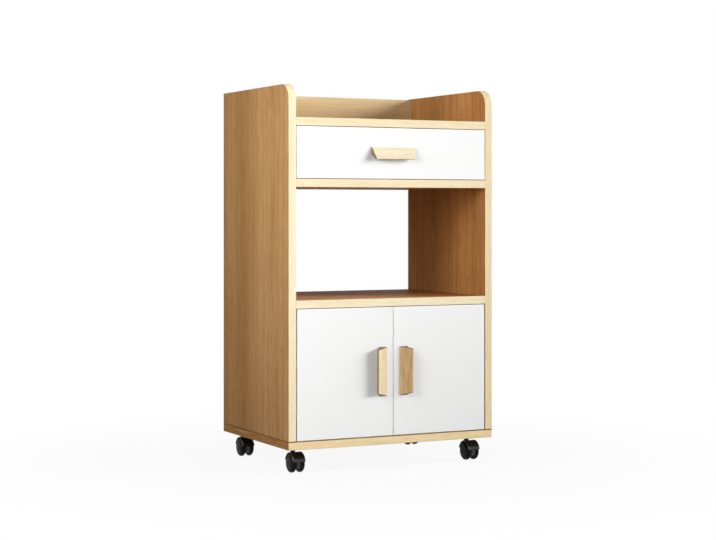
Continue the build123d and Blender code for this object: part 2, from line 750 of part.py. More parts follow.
# Hinge cup: pressed into the door, with two lugs that hold the pin; local Z comes out of the door
lug_start = arm_width / 2 + lug_gap
cavity_depth = cup_depth - cup_floor
with BuildPart() as hinge_cup:
    with BuildSketch():
        Circle(cup_diameter / 2 - press_gap)
    extrude(amount=-cup_depth)
    with BuildSketch():
        Circle(cup_flange_diameter / 2)
        with Locations((cup_wing_offset, 0)):
            RectangleRounded(cup_wing_width, cup_wing_length, cup_wing_radius)
    extrude(amount=cup_flange)
    with BuildSketch(Plane.XY.offset(cup_flange)):
        Circle(cup_diameter / 2 - cup_wall)
    extrude(amount=-cavity_depth - cup_flange, mode=Mode.SUBTRACT)
    for end in (-1, 1):
        with Locations((-cup_to_pin, end * (lug_start + lug_thickness / 2), -cavity_depth)):
            Box(
                lug_width,
                lug_thickness,
                cavity_depth - pin_to_inner_face + lug_above_pin,
                align=(Align.CENTER, Align.CENTER, Align.MIN),
            )
    with BuildSketch(Plane.XZ):
        with Locations((-cup_to_pin, -pin_to_inner_face)):
            Circle(pin_diameter / 2 + press_gap)
    extrude(amount=lug_start + lug_thickness, both=True, mode=Mode.SUBTRACT)
    for end in (-1, 1):
        with Locations((cup_wing_offset, end * cup_screw_spacing / 2, cup_flange)):
            Hole(cup_screw_hole / 2, depth=cup_flange)

for side, sign in sides:
    with BuildPart() as hinge_cups:
        cup_points = [(sign * cup_x, door_rear_y, z) for z in hinge_heights]
        inward = (-sign, 0, 0)
        with Locations(*[Plane(origin=point, x_dir=inward, z_dir=(0, 1, 0)) for point in cup_points]):
            add(hinge_cup.part)
    save(hinge_cups, f"{side}_hinge_cups")
    with BuildPart() as hinge_pins:
        with Locations(*[(sign * pin_x, pin_y, z) for z in hinge_heights]):
            Cylinder(pin_diameter / 2, 2 * (lug_start + lug_thickness))
    save(hinge_pins, f"{side}_hinge_pins")

# Hinge arms: a goose-neck that leaves the cup's mouth, passes round the path of the door's rear
# corner and runs back along the mounting plate
corner_reach = sqrt(pin_from_edge**2 + pin_to_inner_face**2)
neck_reach = corner_reach + arm_swing_gap + arm_thickness / 2
knee_reach = neck_reach / cos(radians(arm_mouth_angle / 2))
arm_line = pin_from_edge + door_hinge_gap - plate_height - arm_thickness / 2
arm_path = (
    (0, 0),
    (knee_reach * cos(radians(arm_mouth_angle)), knee_reach * sin(radians(arm_mouth_angle))),
    (knee_reach * cos(radians(2 * arm_mouth_angle)), knee_reach * sin(radians(2 * arm_mouth_angle))),
    (0, neck_reach),
    (-arm_line, neck_reach + arm_line / 2),
    (-arm_line, arm_length),
)
plate_end_y = pin_y + arm_length
plate_ridge_y = plate_end_y - plate_ridge_length / 2
eye_radius = pin_diameter / 2 + pin_clearance + arm_eye_wall
with BuildPart() as hinge_arms:
    for z in hinge_heights:
        with BuildSketch(Plane(origin=(-pin_x, pin_y, z - arm_width / 2))):
            with BuildLine():
                FilletPolyline(*arm_path, radius=arm_bend_radius)
            trace(line_width=arm_thickness)
            Circle(eye_radius)
            Circle(pin_diameter / 2 + pin_clearance, mode=Mode.SUBTRACT)
        extrude(amount=arm_width)
        arm_face_x = -inner_half + plate_height + arm_thickness
        with Locations(Plane(origin=(arm_face_x, plate_ridge_y, z), z_dir=(1, 0, 0))):
            Hole(arm_screw_hole / 2, depth=arm_thickness)
    mirror(about=Plane.YZ)
save(hinge_arms, "hinge_arms")

# Mounting plates screwed to the panels, each with a ridge that the arm lies on
with BuildPart() as hinge_plates:
    for z in hinge_heights:
        seat = Plane(origin=(-inner_half, plate_ridge_y, z), x_dir=(0, 1, 0), z_dir=(1, 0, 0))
        with BuildSketch(seat):
            RectangleRounded(plate_wing_width, plate_wing_length, plate_corner_radius)
        extrude(amount=plate_base)
        with BuildSketch(seat):
            Rectangle(plate_ridge_length, arm_width)
        extrude(amount=plate_height)
        with Locations(seat.offset(plate_height)):
            Hole(arm_screw_hole / 2, depth=plate_height - plate_base)
        wing_face_x = -inner_half + plate_base
        wing_points = [(wing_face_x, plate_ridge_y, z + end * plate_screw_spacing / 2) for end in (-1, 1)]
        with Locations(*[Plane(origin=point, z_dir=(1, 0, 0)) for point in wing_points]):
            Hole(plate_screw_hole / 2, depth=plate_base)
    mirror(about=Plane.YZ)
save(hinge_plates, "hinge_plates")

# Magnetic catch that stops both doors flush, and a strike plate on each door
catch_front_y = door_rear_y + strike_thickness + catch_gap
with BuildPart() as magnetic_catch:
    with Locations((0, catch_front_y + catch_depth / 2, middle_low - catch_height / 2)):
        Box(catch_width, catch_depth, catch_height)
    fillet(magnetic_catch.edges().filter_by(Axis.Z), catch_corner_radius)
    chamfer(magnetic_catch.faces().sort_by(Axis.Z)[0].edges(), edge_radius)
save(magnetic_catch, "magnetic_catch")

for side, sign in sides:
    strike_z = door_high - strike_from_top - strike_height / 2
    with BuildPart() as strike_plate:
        strike_point = (sign * strike_from_centre, door_rear_y, strike_z)
        with BuildSketch(Plane(origin=strike_point, x_dir=(1, 0, 0), z_dir=(0, 1, 0))):
            RectangleRounded(strike_width, strike_height, strike_thickness)
        extrude(amount=strike_thickness)
    save(strike_plate, f"{side}_strike_plate")

# The three handles: across the drawer front, and upright beside the gap between the doors
handle_places = (
    ("drawer_handle", (0, front_y, drawer_middle_z), (1, 0, 0)),
    ("left_door_handle", (-door_handle_x, front_y, door_middle_z), (0, 0, -1)),
    ("right_door_handle", (door_handle_x, front_y, door_middle_z), (0, 0, 1)),
)
for name, point, along in handle_places:
    with BuildPart() as placed_handle:
        with Locations(Plane(origin=point, x_dir=along, z_dir=(0, -1, 0))):
            add(handle.part)
    save(placed_handle, name)

# Caster inserts in the bottom board, and the threaded stems screwed into them
with BuildPart() as caster_insert:
    with BuildSketch(Plane.XZ):
        with BuildLine():
            Polyline(
                (stem_thread_diameter / 2 + press_gap, 0),
                (insert_flange_diameter / 2, 0),
                (insert_flange_diameter / 2, insert_flange),
                (insert_diameter / 2, insert_flange),
                (insert_diameter / 2, insert_length),
                (stem_thread_diameter / 2 + press_gap, insert_length),
                close=True,
            )
        make_face()
    revolve(axis=Axis.Z)
with BuildPart() as caster_inserts:
    with Locations(*[(x, y, caster_height) for x, y in stem_points.values()]):
        add(caster_insert.part)
save(caster_inserts, "caster_inserts")

with BuildPart() as caster_stem:
    with BuildSketch(Plane.XY.offset(caster_height - collar_height)):
        RegularPolygon(collar_across_flats / 2, 6, major_radius=False)
    extrude(amount=collar_height)
    with BuildSketch(Plane.XY.offset(caster_height)):
        Circle(stem_thread_diameter / 2)
    extrude(amount=stem_thread_length)
    with BuildSketch(Plane.XY.offset(caster_height - collar_height)):
        Circle(stem_diameter / 2)
    extrude(amount=-stem_depth)
with BuildPart() as caster_stems:
    with Locations(*[(x, y, 0) for x, y in stem_points.values()]):
        add(caster_stem.part)
save(caster_stems, "caster_stems")

# Caster parts about the stem: the hood's web stands between the wheels and its arch covers them
web_half = wheel_spacing / 2 - wheel_side_gap
hood_edge_z = wheel_radius + hood_edge_height
boss_top = caster_height - collar_height - boss_gap
axle_half = wheel_spacing / 2 + wheel_axle_depth
with BuildPart() as caster_hood:
    with BuildSketch(Plane.YZ):
        with Locations((-caster_trail, wheel_radius)):
            Circle(hood_radius)
        with Locations((-caster_trail, hood_edge_z)):
            Rectangle(
                2 * hood_radius,
                2 * hood_radius,
                align=(Align.CENTER, Align.MAX),
                mode=Mode.SUBTRACT,
            )
    extrude(amount=hood_width / 2, both=True)
    arches = caster_hood.edges().filter_by(GeomType.CIRCLE)
    chamfer(arches, hood_edge_bevel)
    with BuildSketch(Plane.XY.offset(boss_top)):
        Circle(boss_diameter / 2)
    extrude(amount=hood_edge_z - boss_top)
    # Room for the two wheels, one on each side of the web
    for side, sign in sides:
        with BuildSketch(Plane.YZ.offset(sign * web_half)):
            with Locations((-caster_trail, wheel_radius)):
                Circle(wheel_radius + hood_gap)
        extrude(amount=sign * hood_width, mode=Mode.SUBTRACT)
    # The web fills the gap between the wheels and is cut off above the floor
    with BuildSketch(Plane.YZ):
        with Locations((-caster_trail, wheel_radius)):
            Circle(wheel_radius - hood_web_inset)
        with Locations((-caster_trail, hood_web_above_floor)):
            Rectangle(wheel_diameter, wheel_diameter, align=(Align.CENTER, Align.MAX), mode=Mode.SUBTRACT)
    extrude(amount=web_half, both=True)
    with Locations((0, 0, boss_top)):
        Hole(stem_diameter / 2 + stem_clearance, depth=stem_depth)
    with BuildSketch(Plane.YZ):
        with Locations((-caster_trail, wheel_radius)):
            Circle(wheel_axle_diameter / 2 + press_gap)
    extrude(amount=web_half, both=True, mode=Mode.SUBTRACT)

with BuildPart() as caster_axle:
    with BuildSketch(Plane.YZ):
        with Locations((-caster_trail, wheel_radius)):
            Circle(wheel_axle_diameter / 2)
    extrude(amount=axle_half, both=True)

# Wheel: a tread bevelled at its outer rim and a domed outer face, with a blind bore from the inside
bore_radius = wheel_axle_diameter / 2 + wheel_axle_clearance
bore_depth = wheel_axle_depth + wheel_bore_end_gap
with BuildPart() as caster_wheel:
    with BuildSketch():
        with BuildLine():
            Polyline(
                (0, bore_radius),
                (0, wheel_radius),
                (wheel_width - wheel_dome - wheel_bevel, wheel_radius),
                (wheel_width - wheel_dome, wheel_radius - wheel_bevel),
                (wheel_width, wheel_radius / 2),
                (wheel_width, 0),
                (bore_depth, 0),
                (bore_depth, bore_radius),
                close=True,
            )
        make_face()
    revolve(axis=Axis.X)

for corner, (stem_x, stem_y) in stem_points.items():
    with BuildPart() as hood:
        with Locations((stem_x, stem_y, 0)):
            add(caster_hood.part)
    save(hood, f"{corner}_caster_hood")
    with BuildPart() as axle:
        with Locations((stem_x, stem_y, 0)):
            add(caster_axle.part)
    save(axle, f"{corner}_caster_axle")
    for side, sign in sides:
        wheel_plane = Plane(
            origin=(stem_x + sign * wheel_spacing / 2, stem_y - caster_trail, wheel_radius),
            x_dir=(sign, 0, 0),
            z_dir=(0, 0, 1),
        )
        with BuildPart() as wheel:
            with Locations(wheel_plane):
                add(caster_wheel.part)
        save(wheel, f"{corner}_caster_{side}_wheel")
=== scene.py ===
"""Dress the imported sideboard: oak boards, white fronts, fittings, casters and a plain studio."""

import math
from collections import namedtuple

import bmesh
import bpy
from mathutils import Matrix, Vector


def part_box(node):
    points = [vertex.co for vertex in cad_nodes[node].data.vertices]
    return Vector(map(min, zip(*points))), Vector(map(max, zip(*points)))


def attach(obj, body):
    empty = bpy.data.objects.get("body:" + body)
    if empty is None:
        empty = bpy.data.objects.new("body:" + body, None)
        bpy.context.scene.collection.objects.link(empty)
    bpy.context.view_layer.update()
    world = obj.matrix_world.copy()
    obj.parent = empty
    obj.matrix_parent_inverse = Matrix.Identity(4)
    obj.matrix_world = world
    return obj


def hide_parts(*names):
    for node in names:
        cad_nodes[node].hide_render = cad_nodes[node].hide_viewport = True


bl_info = {
    "name": "Wheeled Sideboard Finish",
    "version": (1, 0, 0),
    "blender": (4, 5, 0),
    "location": "View3D > Sidebar > Sideboard",
    "description": "Finishes, small fittings, casters and a studio for the wheeled sideboard",
    "category": "Object",
}

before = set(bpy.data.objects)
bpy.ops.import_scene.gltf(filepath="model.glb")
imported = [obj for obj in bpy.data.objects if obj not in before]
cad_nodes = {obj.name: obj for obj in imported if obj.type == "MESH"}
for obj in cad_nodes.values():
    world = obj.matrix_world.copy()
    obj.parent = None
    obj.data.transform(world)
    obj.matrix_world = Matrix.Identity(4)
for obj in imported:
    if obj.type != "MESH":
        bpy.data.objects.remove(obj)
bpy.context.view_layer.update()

MM = 0.001
ENDS = (-1, 1)
SIDES = (("left", -1), ("right", 1))
CORNERS = ("front_left", "front_right", "rear_left", "rear_right")
WHITE = (1.0, 1.0, 1.0, 1.0)

# How many steps draw a quarter round, and the rims of a screw head, a wheel and the floor
ROUND_STEPS = 6
SCREW_STEPS = 24
WHEEL_STEPS = 64
FLOOR_STEPS = 96

# Edges that turn by less than this, in radians, are shaded smooth
SCREW_SOFT_TURN = 0.6
WHEEL_SOFT_TURN = 0.75

# Turns the X axis, about which profiles are turned, onto the Z axis
X_TO_Z = Matrix(((0, 1, 0), (0, 0, 1), (1, 0, 0))).to_4x4()

# A wood's tones, and whether it shows the heart's figure
Wood = namedtuple("Wood", "pale deep pore figured")

# A board's face: the axis it looks along, its grain's axis and its wood, and which way it looks
BOTH_WAYS = 0
Face = namedtuple("Face", "across along wood way", defaults=(BOTH_WAYS,))

# A layer of the wood grain: how little it varies along the grain, and its share of the tone
GrainLayer = namedtuple("GrainLayer", "squeeze scale detail share")
GRAIN_LAYERS = {
    "broad": GrainLayer(squeeze=0.02, scale=11.0, detail=2.0, share=0.32),
    "streak": GrainLayer(squeeze=0.02, scale=70.0, detail=4.0, share=0.3),
    "fleck": GrainLayer(squeeze=0.12, scale=230.0, detail=3.0, share=0.24),
    "fibre": GrainLayer(squeeze=0.02, scale=330.0, detail=3.0, share=0.14),
}

# A soft lamp: its place, target and size in metres, and its opening in degrees
Lamp = namedtuple("Lamp", "name place target opening size")
LAMPS = (
    Lamp("key", place=(2.4, -1.2, 1.2), target=(0.05, -0.16, 0.68), opening=46.0, size=1.5),
    Lamp("wash", place=(-1.1, -0.63, 0.82), target=(-0.225, -0.1, 0.55), opening=180.0, size=0.6),
    Lamp("fill", place=(-2.0, 0.1, 1.6), target=(-0.225, -0.25, 0.75), opening=45.0, size=0.8),
    Lamp("back", place=(1.8, 1.5, 0.45), target=(0.0, 0.17, 0.4), opening=120.0, size=0.6),
)


# Settings that a user can change


def colour_property(name, description, default):
    """A linear colour."""
    return bpy.props.FloatVectorProperty(
        name=name,
        description=description,
        subtype="COLOR",
        size=3,
        min=0.0,
        max=1.0,
        default=default,
    )


def length_property(name, description, default):
    """A length in metres."""
    return bpy.props.FloatProperty(
        name=name,
        description=description,
        unit="LENGTH",
        precision=5,
        default=default,
    )


def share_property(name, description, default):
    """A share from nought to one."""
    return bpy.props.FloatProperty(
        name=name,
        description=description,
        subtype="FACTOR",
        min=0.0,
        max=1.0,
        default=default,
    )


def power_property(name, description, default):
    """A lamp's power."""
    return bpy.props.FloatProperty(
        name=name,
        description=description,
        unit="POWER",
        min=0.0,
        default=default,
    )


class SideboardFinish(bpy.types.PropertyGroup):
    """Colours of the boards, fronts and fittings."""

    oak_pale: colour_property("Oak pale", "Pale tone of the oak grain", (0.47, 0.275, 0.116))
    oak_deep: colour_property("Oak deep", "Deep tone of the oak grain", (0.295, 0.147, 0.052))
    # Inner faces: redder, more saturated oak tones as painted warm bounce light
    inside_bounce_pale: colour_property("Inside pale", "Pale tone of the inner faces", (0.61, 0.305, 0.108))
    inside_bounce_deep: colour_property("Inside deep", "Deep tone of the inner faces", (0.385, 0.163, 0.048))
    oak_red: colour_property("Oak red", "Reddish tone beside the heart", (0.325, 0.157, 0.052))
    oak_sap: colour_property("Oak sapwood", "Pale sliver beside the heart line", (0.64, 0.43, 0.22))
    oak_heart: colour_property("Oak heart", "Dark lines of the heart figure", (0.19, 0.078, 0.024))
    oak_pore: colour_property("Oak pore", "Tone of the open pores", (0.16, 0.068, 0.02))
    # Colour of the painted shadow line under the side panels
    joint_brown: colour_property("Joint line", "Line under the side panels", (0.07, 0.035, 0.014))
    band_pale: colour_property("Edge band pale", "Pale tone of the edge bands", (0.93, 0.82, 0.585))
    band_deep: colour_property("Edge band deep", "Deep tone of the edge bands", (0.84, 0.68, 0.41))
    # Edge band of the bottom board, also used on the gallery rail: tanner, deeper tones as painted shade
    shaded_base_pale: colour_property("Base band pale", "Pale tone of the bottom board's band", (0.94, 0.75, 0.45))
    shaded_base_deep: colour_property("Base band deep", "Deep tone of the bottom board's band", (0.77, 0.56, 0.29))
    handle_pale: colour_property("Handle pale", "Pale tone of the drawer's handle", (0.88, 0.79, 0.6))
    handle_deep: colour_property("Handle deep", "Deep tone of the drawer's handle", (0.75, 0.61, 0.4))
    # Door handles: the handle wood toned darker and browner as painted shade, for faces turned from the
    # light
    handle_straw: colour_property("Handle straw", "Pale tone of the left handle", (0.73, 0.6, 0.4))
    handle_honey: colour_property("Handle honey", "Deep tone of the left handle", (0.6, 0.435, 0.235))
    handle_tan: colour_property("Handle tan", "Pale tone of the right handle", (0.93, 0.68, 0.365))
    handle_brown: colour_property("Handle brown", "Deep tone of the right handle", (0.59, 0.35, 0.15))
    # End grain deepened by painted shade, and painted shade on the gripped edge
    handle_end: colour_property("Handle end", "End grain and gripped edge", (0.135, 0.085, 0.041))
    front_white: colour_property("Front white", "White of the drawer front and doors", (0.92, 0.92, 0.915))
    box_white: colour_property("Drawer box white", "White of the drawer box", (0.8, 0.79, 0.77))
    fibre_brown: colour_property("Fibreboard brown", "Raw rear face of the thin panels", (0.4, 0.26, 0.14))
    zinc: colour_property("Zinc", "Plated steel fittings", (0.6, 0.61, 0.62))
    runner_white: colour_property("Runner white", "Powder coat of the drawer runners", (0.78, 0.78, 0.76))
    nylon: colour_property("Nylon", "Rollers and catch", (0.74, 0.74, 0.72))
    caster_black: colour_property("Caster black", "Moulded plastic of the casters", (0.006, 0.006, 0.007))
    tread_black: colour_property("Tread black", "Running surface of the wheels", (0.004, 0.004, 0.0045))


class SideboardGrain(bpy.types.PropertyGroup):
    """Sizes of the figure in the oak laminate."""

    grain_cut: length_property("Grain cut", "Which part of the grain the boards are cut from", 370.0 * MM)
    grain_wander: length_property("Grain wander", "How far the grain strays sideways", 18.0 * MM)
    heart_place: length_property("Heart line", "Heart line from the sideboard's middle", 58.0 * MM)
    heart_spacing: length_property("Heart spacing", "Distance between two heart lines", 320.0 * MM)
    heart_wander: length_property("Heart wander", "How far the heart line strays sideways", 26.0 * MM)
    sliver_width: length_property("Sliver", "Half width of the pale sliver beside the heart", 3.2 * MM)
    ring_width: length_property("Ring width", "Half width of the innermost ring", 5.0 * MM)
    ring_length: length_property("Ring length", "Distance between the tips of the rings", 95.0 * MM)
    # Width of the painted shadow line under the side panels
    joint_width: length_property("Joint line", "Width of the line under the side panels", 3.0 * MM)


class SideboardFittings(bpy.types.PropertyGroup):
    """Sizes of the small fittings added to the boards."""

    pan_diameter: length_property("Pan head", "Head diameter of the runner screws", 7.4 * MM)
    pan_height: length_property("Pan head height", "Head height of the runner screws", 1.7 * MM)
    truss_diameter: length_property("Truss head", "Head diameter of the handle screws", 8.6 * MM)
    truss_height: length_property("Truss head height", "Head height of the handle screws", 2.1 * MM)
    flat_diameter: length_property("Flat head", "Head diameter of the hinge screws", 7.0 * MM)
    flat_height: length_property("Flat head height", "Head height of the hinge screws", 1.1 * MM)
    small_diameter: length_property("Small head", "Head diameter of the catch screws", 5.6 * MM)
    small_height: length_property("Small head height", "Head height of the catch screws", 0.88 * MM)
    head_crown: share_property("Head crown", "Flat top of a head, against its radius", 0.66)
    recess_reach: share_property("Recess reach", "Reach of the cross recess, against the radius", 0.5)
    recess_width: share_property("Recess width", "Half width of its arms, against the radius", 0.11)
    recess_depth: share_property("Recess depth", "Depth of the recess, against the head's height", 0.62)
    recess_taper: share_property("Recess taper", "Size of the recess's floor, against its mouth", 0.8)
    handle_screw_spacing: length_property("Handle screws", "Distance between two handle screws", 64.0 * MM)
    runner_screw_from_end: length_property("Runner screw", "Runner screws from each end", 45.0 * MM)
    runner_screw_height: length_property("Runner screw line", "Runner screws above its foot", 9.85 * MM)
    sheet: length_property("Sheet", "Thickness of the runner steel", 1.2 * MM)
    wing_thickness: length_property("Plate wing", "Thickness of the hinge plates' wings", 2.0 * MM)
    arm_stand: length_property("Arm stand", "Hinge arms' faces from the side panel", 9.25 * MM)
    plate_screw_spacing: length_property("Plate screws", "Distance between two plate screws", 32.0 * MM)
    cup_screw_spacing: length_property("Cup screws", "Distance between two cup screws", 45.0 * MM)
    cup_screw_offset: length_property("Cup screw line", "Cup screws from the cup's middle", 9.5 * MM)
    pole_width: length_property("Pole width", "Width of the catch's pole plates", 10.0 * MM)
    pole_depth: length_property("Pole depth", "Depth of the pole plates", 2.0 * MM)
    pole_height: length_property("Pole height", "Thickness of the pole plates", 1.6 * MM)
    pole_rounding: length_property("Pole rounding", "Rounding of the pole plates' edges", 0.25 * MM)
    pole_spacing: length_property("Pole spacing", "Distance between the plates of a pair", 5.2 * MM)
    pole_set_back: length_property("Pole set-back", "Plates' middle behind the catch's face", 0.9 * MM)
    catch_screw_spacing: length_property("Catch screws", "Distance between the catch screws", 12.0 * MM)


class SideboardCasters(bpy.types.PropertyGroup):
    """Sizes of the turned caster wheels."""

    wheel_bore: length_property("Wheel bore", "Diameter of the axle's bore", 5.2 * MM)
    wheel_bore_depth: length_property("Bore depth", "Depth of the axle's bore", 8.0 * MM)
    inner_rim_round: length_property("Inner rim", "Rounding of the tread's inner rim", 3.2 * MM)
    outer_rim_round: length_property("Outer rim", "Rounding of the tread's outer rim", 4.6 * MM)
    groove_depth: length_property("Groove depth", "Depth of the grooves in the outer face", 0.5 * MM)
    groove_width: length_property("Groove width", "Width of the grooves in the outer face", 0.7 * MM)
    cap_stand: length_property("Cap crown", "How far the hub cap stands out of the rim", 0.9 * MM)
    boss_stand: length_property("Boss crown", "How far the boss stands out of the hub cap", 0.25 * MM)
    boss_diameter: length_property("Boss", "Diameter of the boss, with its groove", 10.8 * MM)
    boss_round: length_property("Boss rounding", "Rounding of the boss", 1.4 * MM)


class SideboardStudio(bpy.types.PropertyGroup):
    """Camera, lamps, sky and floor."""

    camera_place: bpy.props.FloatVectorProperty(
        name="Camera",
        description="Where the camera stands",
        subtype="TRANSLATION",
        unit="LENGTH",
        size=3,
        default=(-1.5604, -3.1454, 0.5049),
    )
    camera_turn: bpy.props.FloatProperty(
        name="Camera turn",
        description="How far the level camera turns to the right of straight ahead",
        subtype="ANGLE",
        default=math.radians(26.41),
    )
    camera_frame: bpy.props.FloatProperty(
        name="Camera frame",
        description="Width of the frame behind the lens",
        unit="CAMERA",
        default=36.0,
    )
    camera_lens: bpy.props.FloatProperty(
        name="Lens",
        description="Focal length of the lens",
        unit="CAMERA",
        default=86.27,
    )
    camera_drop: bpy.props.FloatProperty(
        name="View drop",
        description="Upright shift of the level camera's view, against the frame's width",
        default=-0.0823,
    )
    key_power: power_property("Key", "Power of the key lamp, right of the front", 14.2)
    wash_power: power_property("Wash", "Power of the lamp at the front's left corner", 12.0)
    fill_power: power_property("Fill", "Power of the lamp off the left side", 1.2)
    back_power: power_property("Back", "Power of the low lamp behind the right side", 6.0)
    sky_level: share_property("Sky", "Level of the even light from all round", 0.03)
    floor_radius: length_property("Floor", "Radius of the floor round the sideboard", 4.0)
    floor_pale: colour_property("Floor pale", "Pale tone of the floor", (0.52, 0.52, 0.52))
    floor_deep: colour_property("Floor deep", "Deep tone of the floor", (0.5, 0.5, 0.5))
    fade_from: length_property("Fade from", "Where the floor starts to fade to white", 0.25)
    fade_to: length_property("Fade to", "Where the floor is plain white", 0.9)
    fade_share: share_property("Fade", "How white the floor is under the sideboard", 0.92)


# Shader nodes


def start_finish(name):
    """A new material with its node tree and its shader."""
    material = bpy.data.materials.new(name)
    material.use_nodes = True
    tree = material.node_tree
    return material, tree, tree.nodes["Principled BSDF"]


def set_input(tree, socket, value):
    """Link an input to another node's socket, or give it a value."""
    if isinstance(value, bpy.types.NodeSocket):
        tree.links.new(value, socket)
    else:
        socket.default_value = value


def put(tree, kind, inputs=None, **settings):
    """Add a node, with its settings and with values or links for its inputs."""
    node = tree.nodes.new(kind)
    for key, value in settings.items():
        setattr(node, key, value)
    for key, value in (inputs or {}).items():
        set_input(tree, node.inputs[key], value)
    return node


def object_place(tree):
    """Where a point of the surface lies, in the sideboard's frame."""
    return put(tree, "ShaderNodeTexCoord").outputs["Object"]


def face_direction(tree):
    """The X, Y and Z parts of the way the surface looks."""
    normal = put(tree, "ShaderNodeTexCoord").outputs["Normal"]
    return put(tree, "ShaderNodeSeparateXYZ", {0: normal}).outputs


def mix_colours(tree, share, first, second):
    """Mix two colours or colour sockets by a share."""
    node = put(tree, "ShaderNodeMix", {0: share}, data_type="RGBA")
    for index, value in ((6, first), (7, second)):
        if not isinstance(value, bpy.types.NodeSocket):
            value = (*value, 1.0)
        set_input(tree, node.inputs[index], value)
    return node.outputs[2]


def mix_values(tree, share, first, second):
    """Mix two values or sockets by a share."""
    return put(tree, "ShaderNodeMix", {0: share, 2: first, 3: second}).outputs[0]


def sums(tree, operation, first, second=0.0):
    """One sum on one or two values or sockets."""
    return put(tree, "ShaderNodeMath", {0: first, 1: second}, operation=operation).outputs[0]


def spread(tree, value, between, onto=(0.0, 1.0)):
    """Stretch the values of a socket between two limits onto a new range."""
    limits = {"From Min": between[0], "From Max": between[1], "To Min": onto[0], "To Max": onto[1]}
    return put(tree, "ShaderNodeMapRange", {"Value": value, **limits}).outputs["Result"]


def noise(tree, place, scale, detail=2.0, roughness=0.5):
    """The value of a noise at a place."""
    inputs = {"Vector": place, "Scale": scale, "Detail": detail, "Roughness": roughness}
    return put(tree, "ShaderNodeTexNoise", inputs).outputs["Fac"]


def set_surface(tree, shader, colour, roughness, height, depth, strength):
    """Give a shader its colour and roughness, and a fine relief of a depth in metres."""
    set_input(tree, shader.inputs["Base Color"], colour)
    set_input(tree, shader.inputs["Roughness"], roughness)
    bump = put(tree, "ShaderNodeBump", {"Height": height, "Distance": depth, "Strength": strength})
    tree.links.new(bump.outputs["Normal"], shader.inputs["Normal"])


# Finishes


def grain_place(tree, along, squeeze):
    """Coordinates drawn out along the grain, with a slow sideways wander."""
    sizes = bpy.context.scene.sideboard_grain
    where = object_place(tree)
    scale = [1.0, 1.0, 1.0]
    scale["XYZ".index(along)] = squeeze
    mapping = {"Vector": where, "Scale": scale, "Location": [sizes.grain_cut] * 3}
    drawn = put(tree, "ShaderNodeMapping", mapping).outputs[0]
    slow = put(tree, "ShaderNodeTexNoise", {"Vector": where, "Scale": 3.5, "Detail": 1.0})
    centring = {0: slow.outputs["Color"], 1: (0.5, 0.5, 0.5)}
    centred = put(tree, "ShaderNodeVectorMath", centring, operation="SUBTRACT").outputs[0]
    shift = {0: centred, 1: [sizes.grain_wander] * 3, 2: drawn}
    return put(tree, "ShaderNodeVectorMath", shift, operation="MULTIPLY_ADD").outputs[0]


def wood_tones(tree, along, wood):
    """Colour and height of a wood grain that runs along one axis."""
    tone = 0.0
    layers = {}
    for name, layer in GRAIN_LAYERS.items():
        place = grain_place(tree, along, layer.squeeze)
        layers[name] = noise(tree, place, layer.scale, layer.detail, roughness=0.6)
        weighed = {0: layers[name], 1: layer.share, 2: tone}
        tone = put(tree, "ShaderNodeMath", weighed, operation="MULTIPLY_ADD").outputs[0]
    board = mix_colours(tree, spread(tree, tone, between=(0.4, 0.595)), wood.deep, wood.pale)
    dashes = noise(tree, grain_place(tree, along, squeeze=0.04), scale=640.0)
    pores = spread(tree, dashes, between=(0.58, 0.72))
    colour = mix_colours(tree, sums(tree, "MULTIPLY", pores, 0.4), board, wood.pore)
    height = sums(tree, "SUBTRACT", layers["fibre"], pores)
    return colour, height


def heart_figure(tree, along, beside, colour):
    """Redden a board towards its wandering heart line, with a pale sliver and the arches of its rings."""
    look = bpy.context.scene.sideboard_finish
    sizes = bpy.context.scene.sideboard_grain
    where = object_place(tree)
    parts = put(tree, "ShaderNodeSeparateXYZ", {0: where}).outputs
    sway = sums(tree, "SUBTRACT", noise(tree, where, scale=4.0), 0.5)
    wander = sums(tree, "MULTIPLY", sway, sizes.heart_wander)
    place = sums(tree, "SUBTRACT", sums(tree, "ADD", parts[beside], wander), sizes.heart_place)
    away = sums(tree, "PINGPONG", place, sizes.heart_spacing / 2.0)
    warm = spread(tree, away, between=(0.0, sizes.heart_spacing / 3.0), onto=(0.5, 0.0))
    colour = mix_colours(tree, warm, colour, look.oak_red)
    patches = noise(tree, grain_place(tree, along, squeeze=0.16), scale=60.0)
    stretches = spread(tree, patches, between=(0.48, 0.66))
    beyond = sums(tree, "ABSOLUTE", sums(tree, "SUBTRACT", place, sizes.sliver_width))
    sliver = spread(tree, beyond, between=(0.0, sizes.sliver_width), onto=(0.45, 0.0))
    colour = mix_colours(tree, sums(tree, "MULTIPLY", sliver, stretches), colour, look.oak_sap)
    width = sums(tree, "DIVIDE", away, sizes.ring_width)
    length = sums(tree, "DIVIDE", parts[along], sizes.ring_length)
    arches = sums(tree, "SUBTRACT", sums(tree, "MULTIPLY", width, width), length)
    lines = spread(tree, sums(tree, "PINGPONG", arches, 0.5), between=(0.0, 0.3), onto=(0.6, 0.0))
    close = spread(tree, width, between=(0.4, 3.2), onto=(1.0, 0.0))
    return mix_colours(tree, sums(tree, "MULTIPLY", lines, close), colour, look.oak_heart)


def painted_joint_shadow(tree, level, colour):
    """Darken a colour in a thin painted shadow line at the height where the panels stand on the bottom
    board.
    """
    look = bpy.context.scene.sideboard_finish
    half = bpy.context.scene.sideboard_grain.joint_width / 2.0
    height = put(tree, "ShaderNodeSeparateXYZ", {0: object_place(tree)}).outputs["Z"]
    off = sums(tree, "ABSOLUTE", sums(tree, "SUBTRACT", height, level))
    line = spread(tree, off, between=(half * 0.6, half), onto=(0.85, 0.0))
    return mix_colours(tree, line, colour, look.joint_brown)


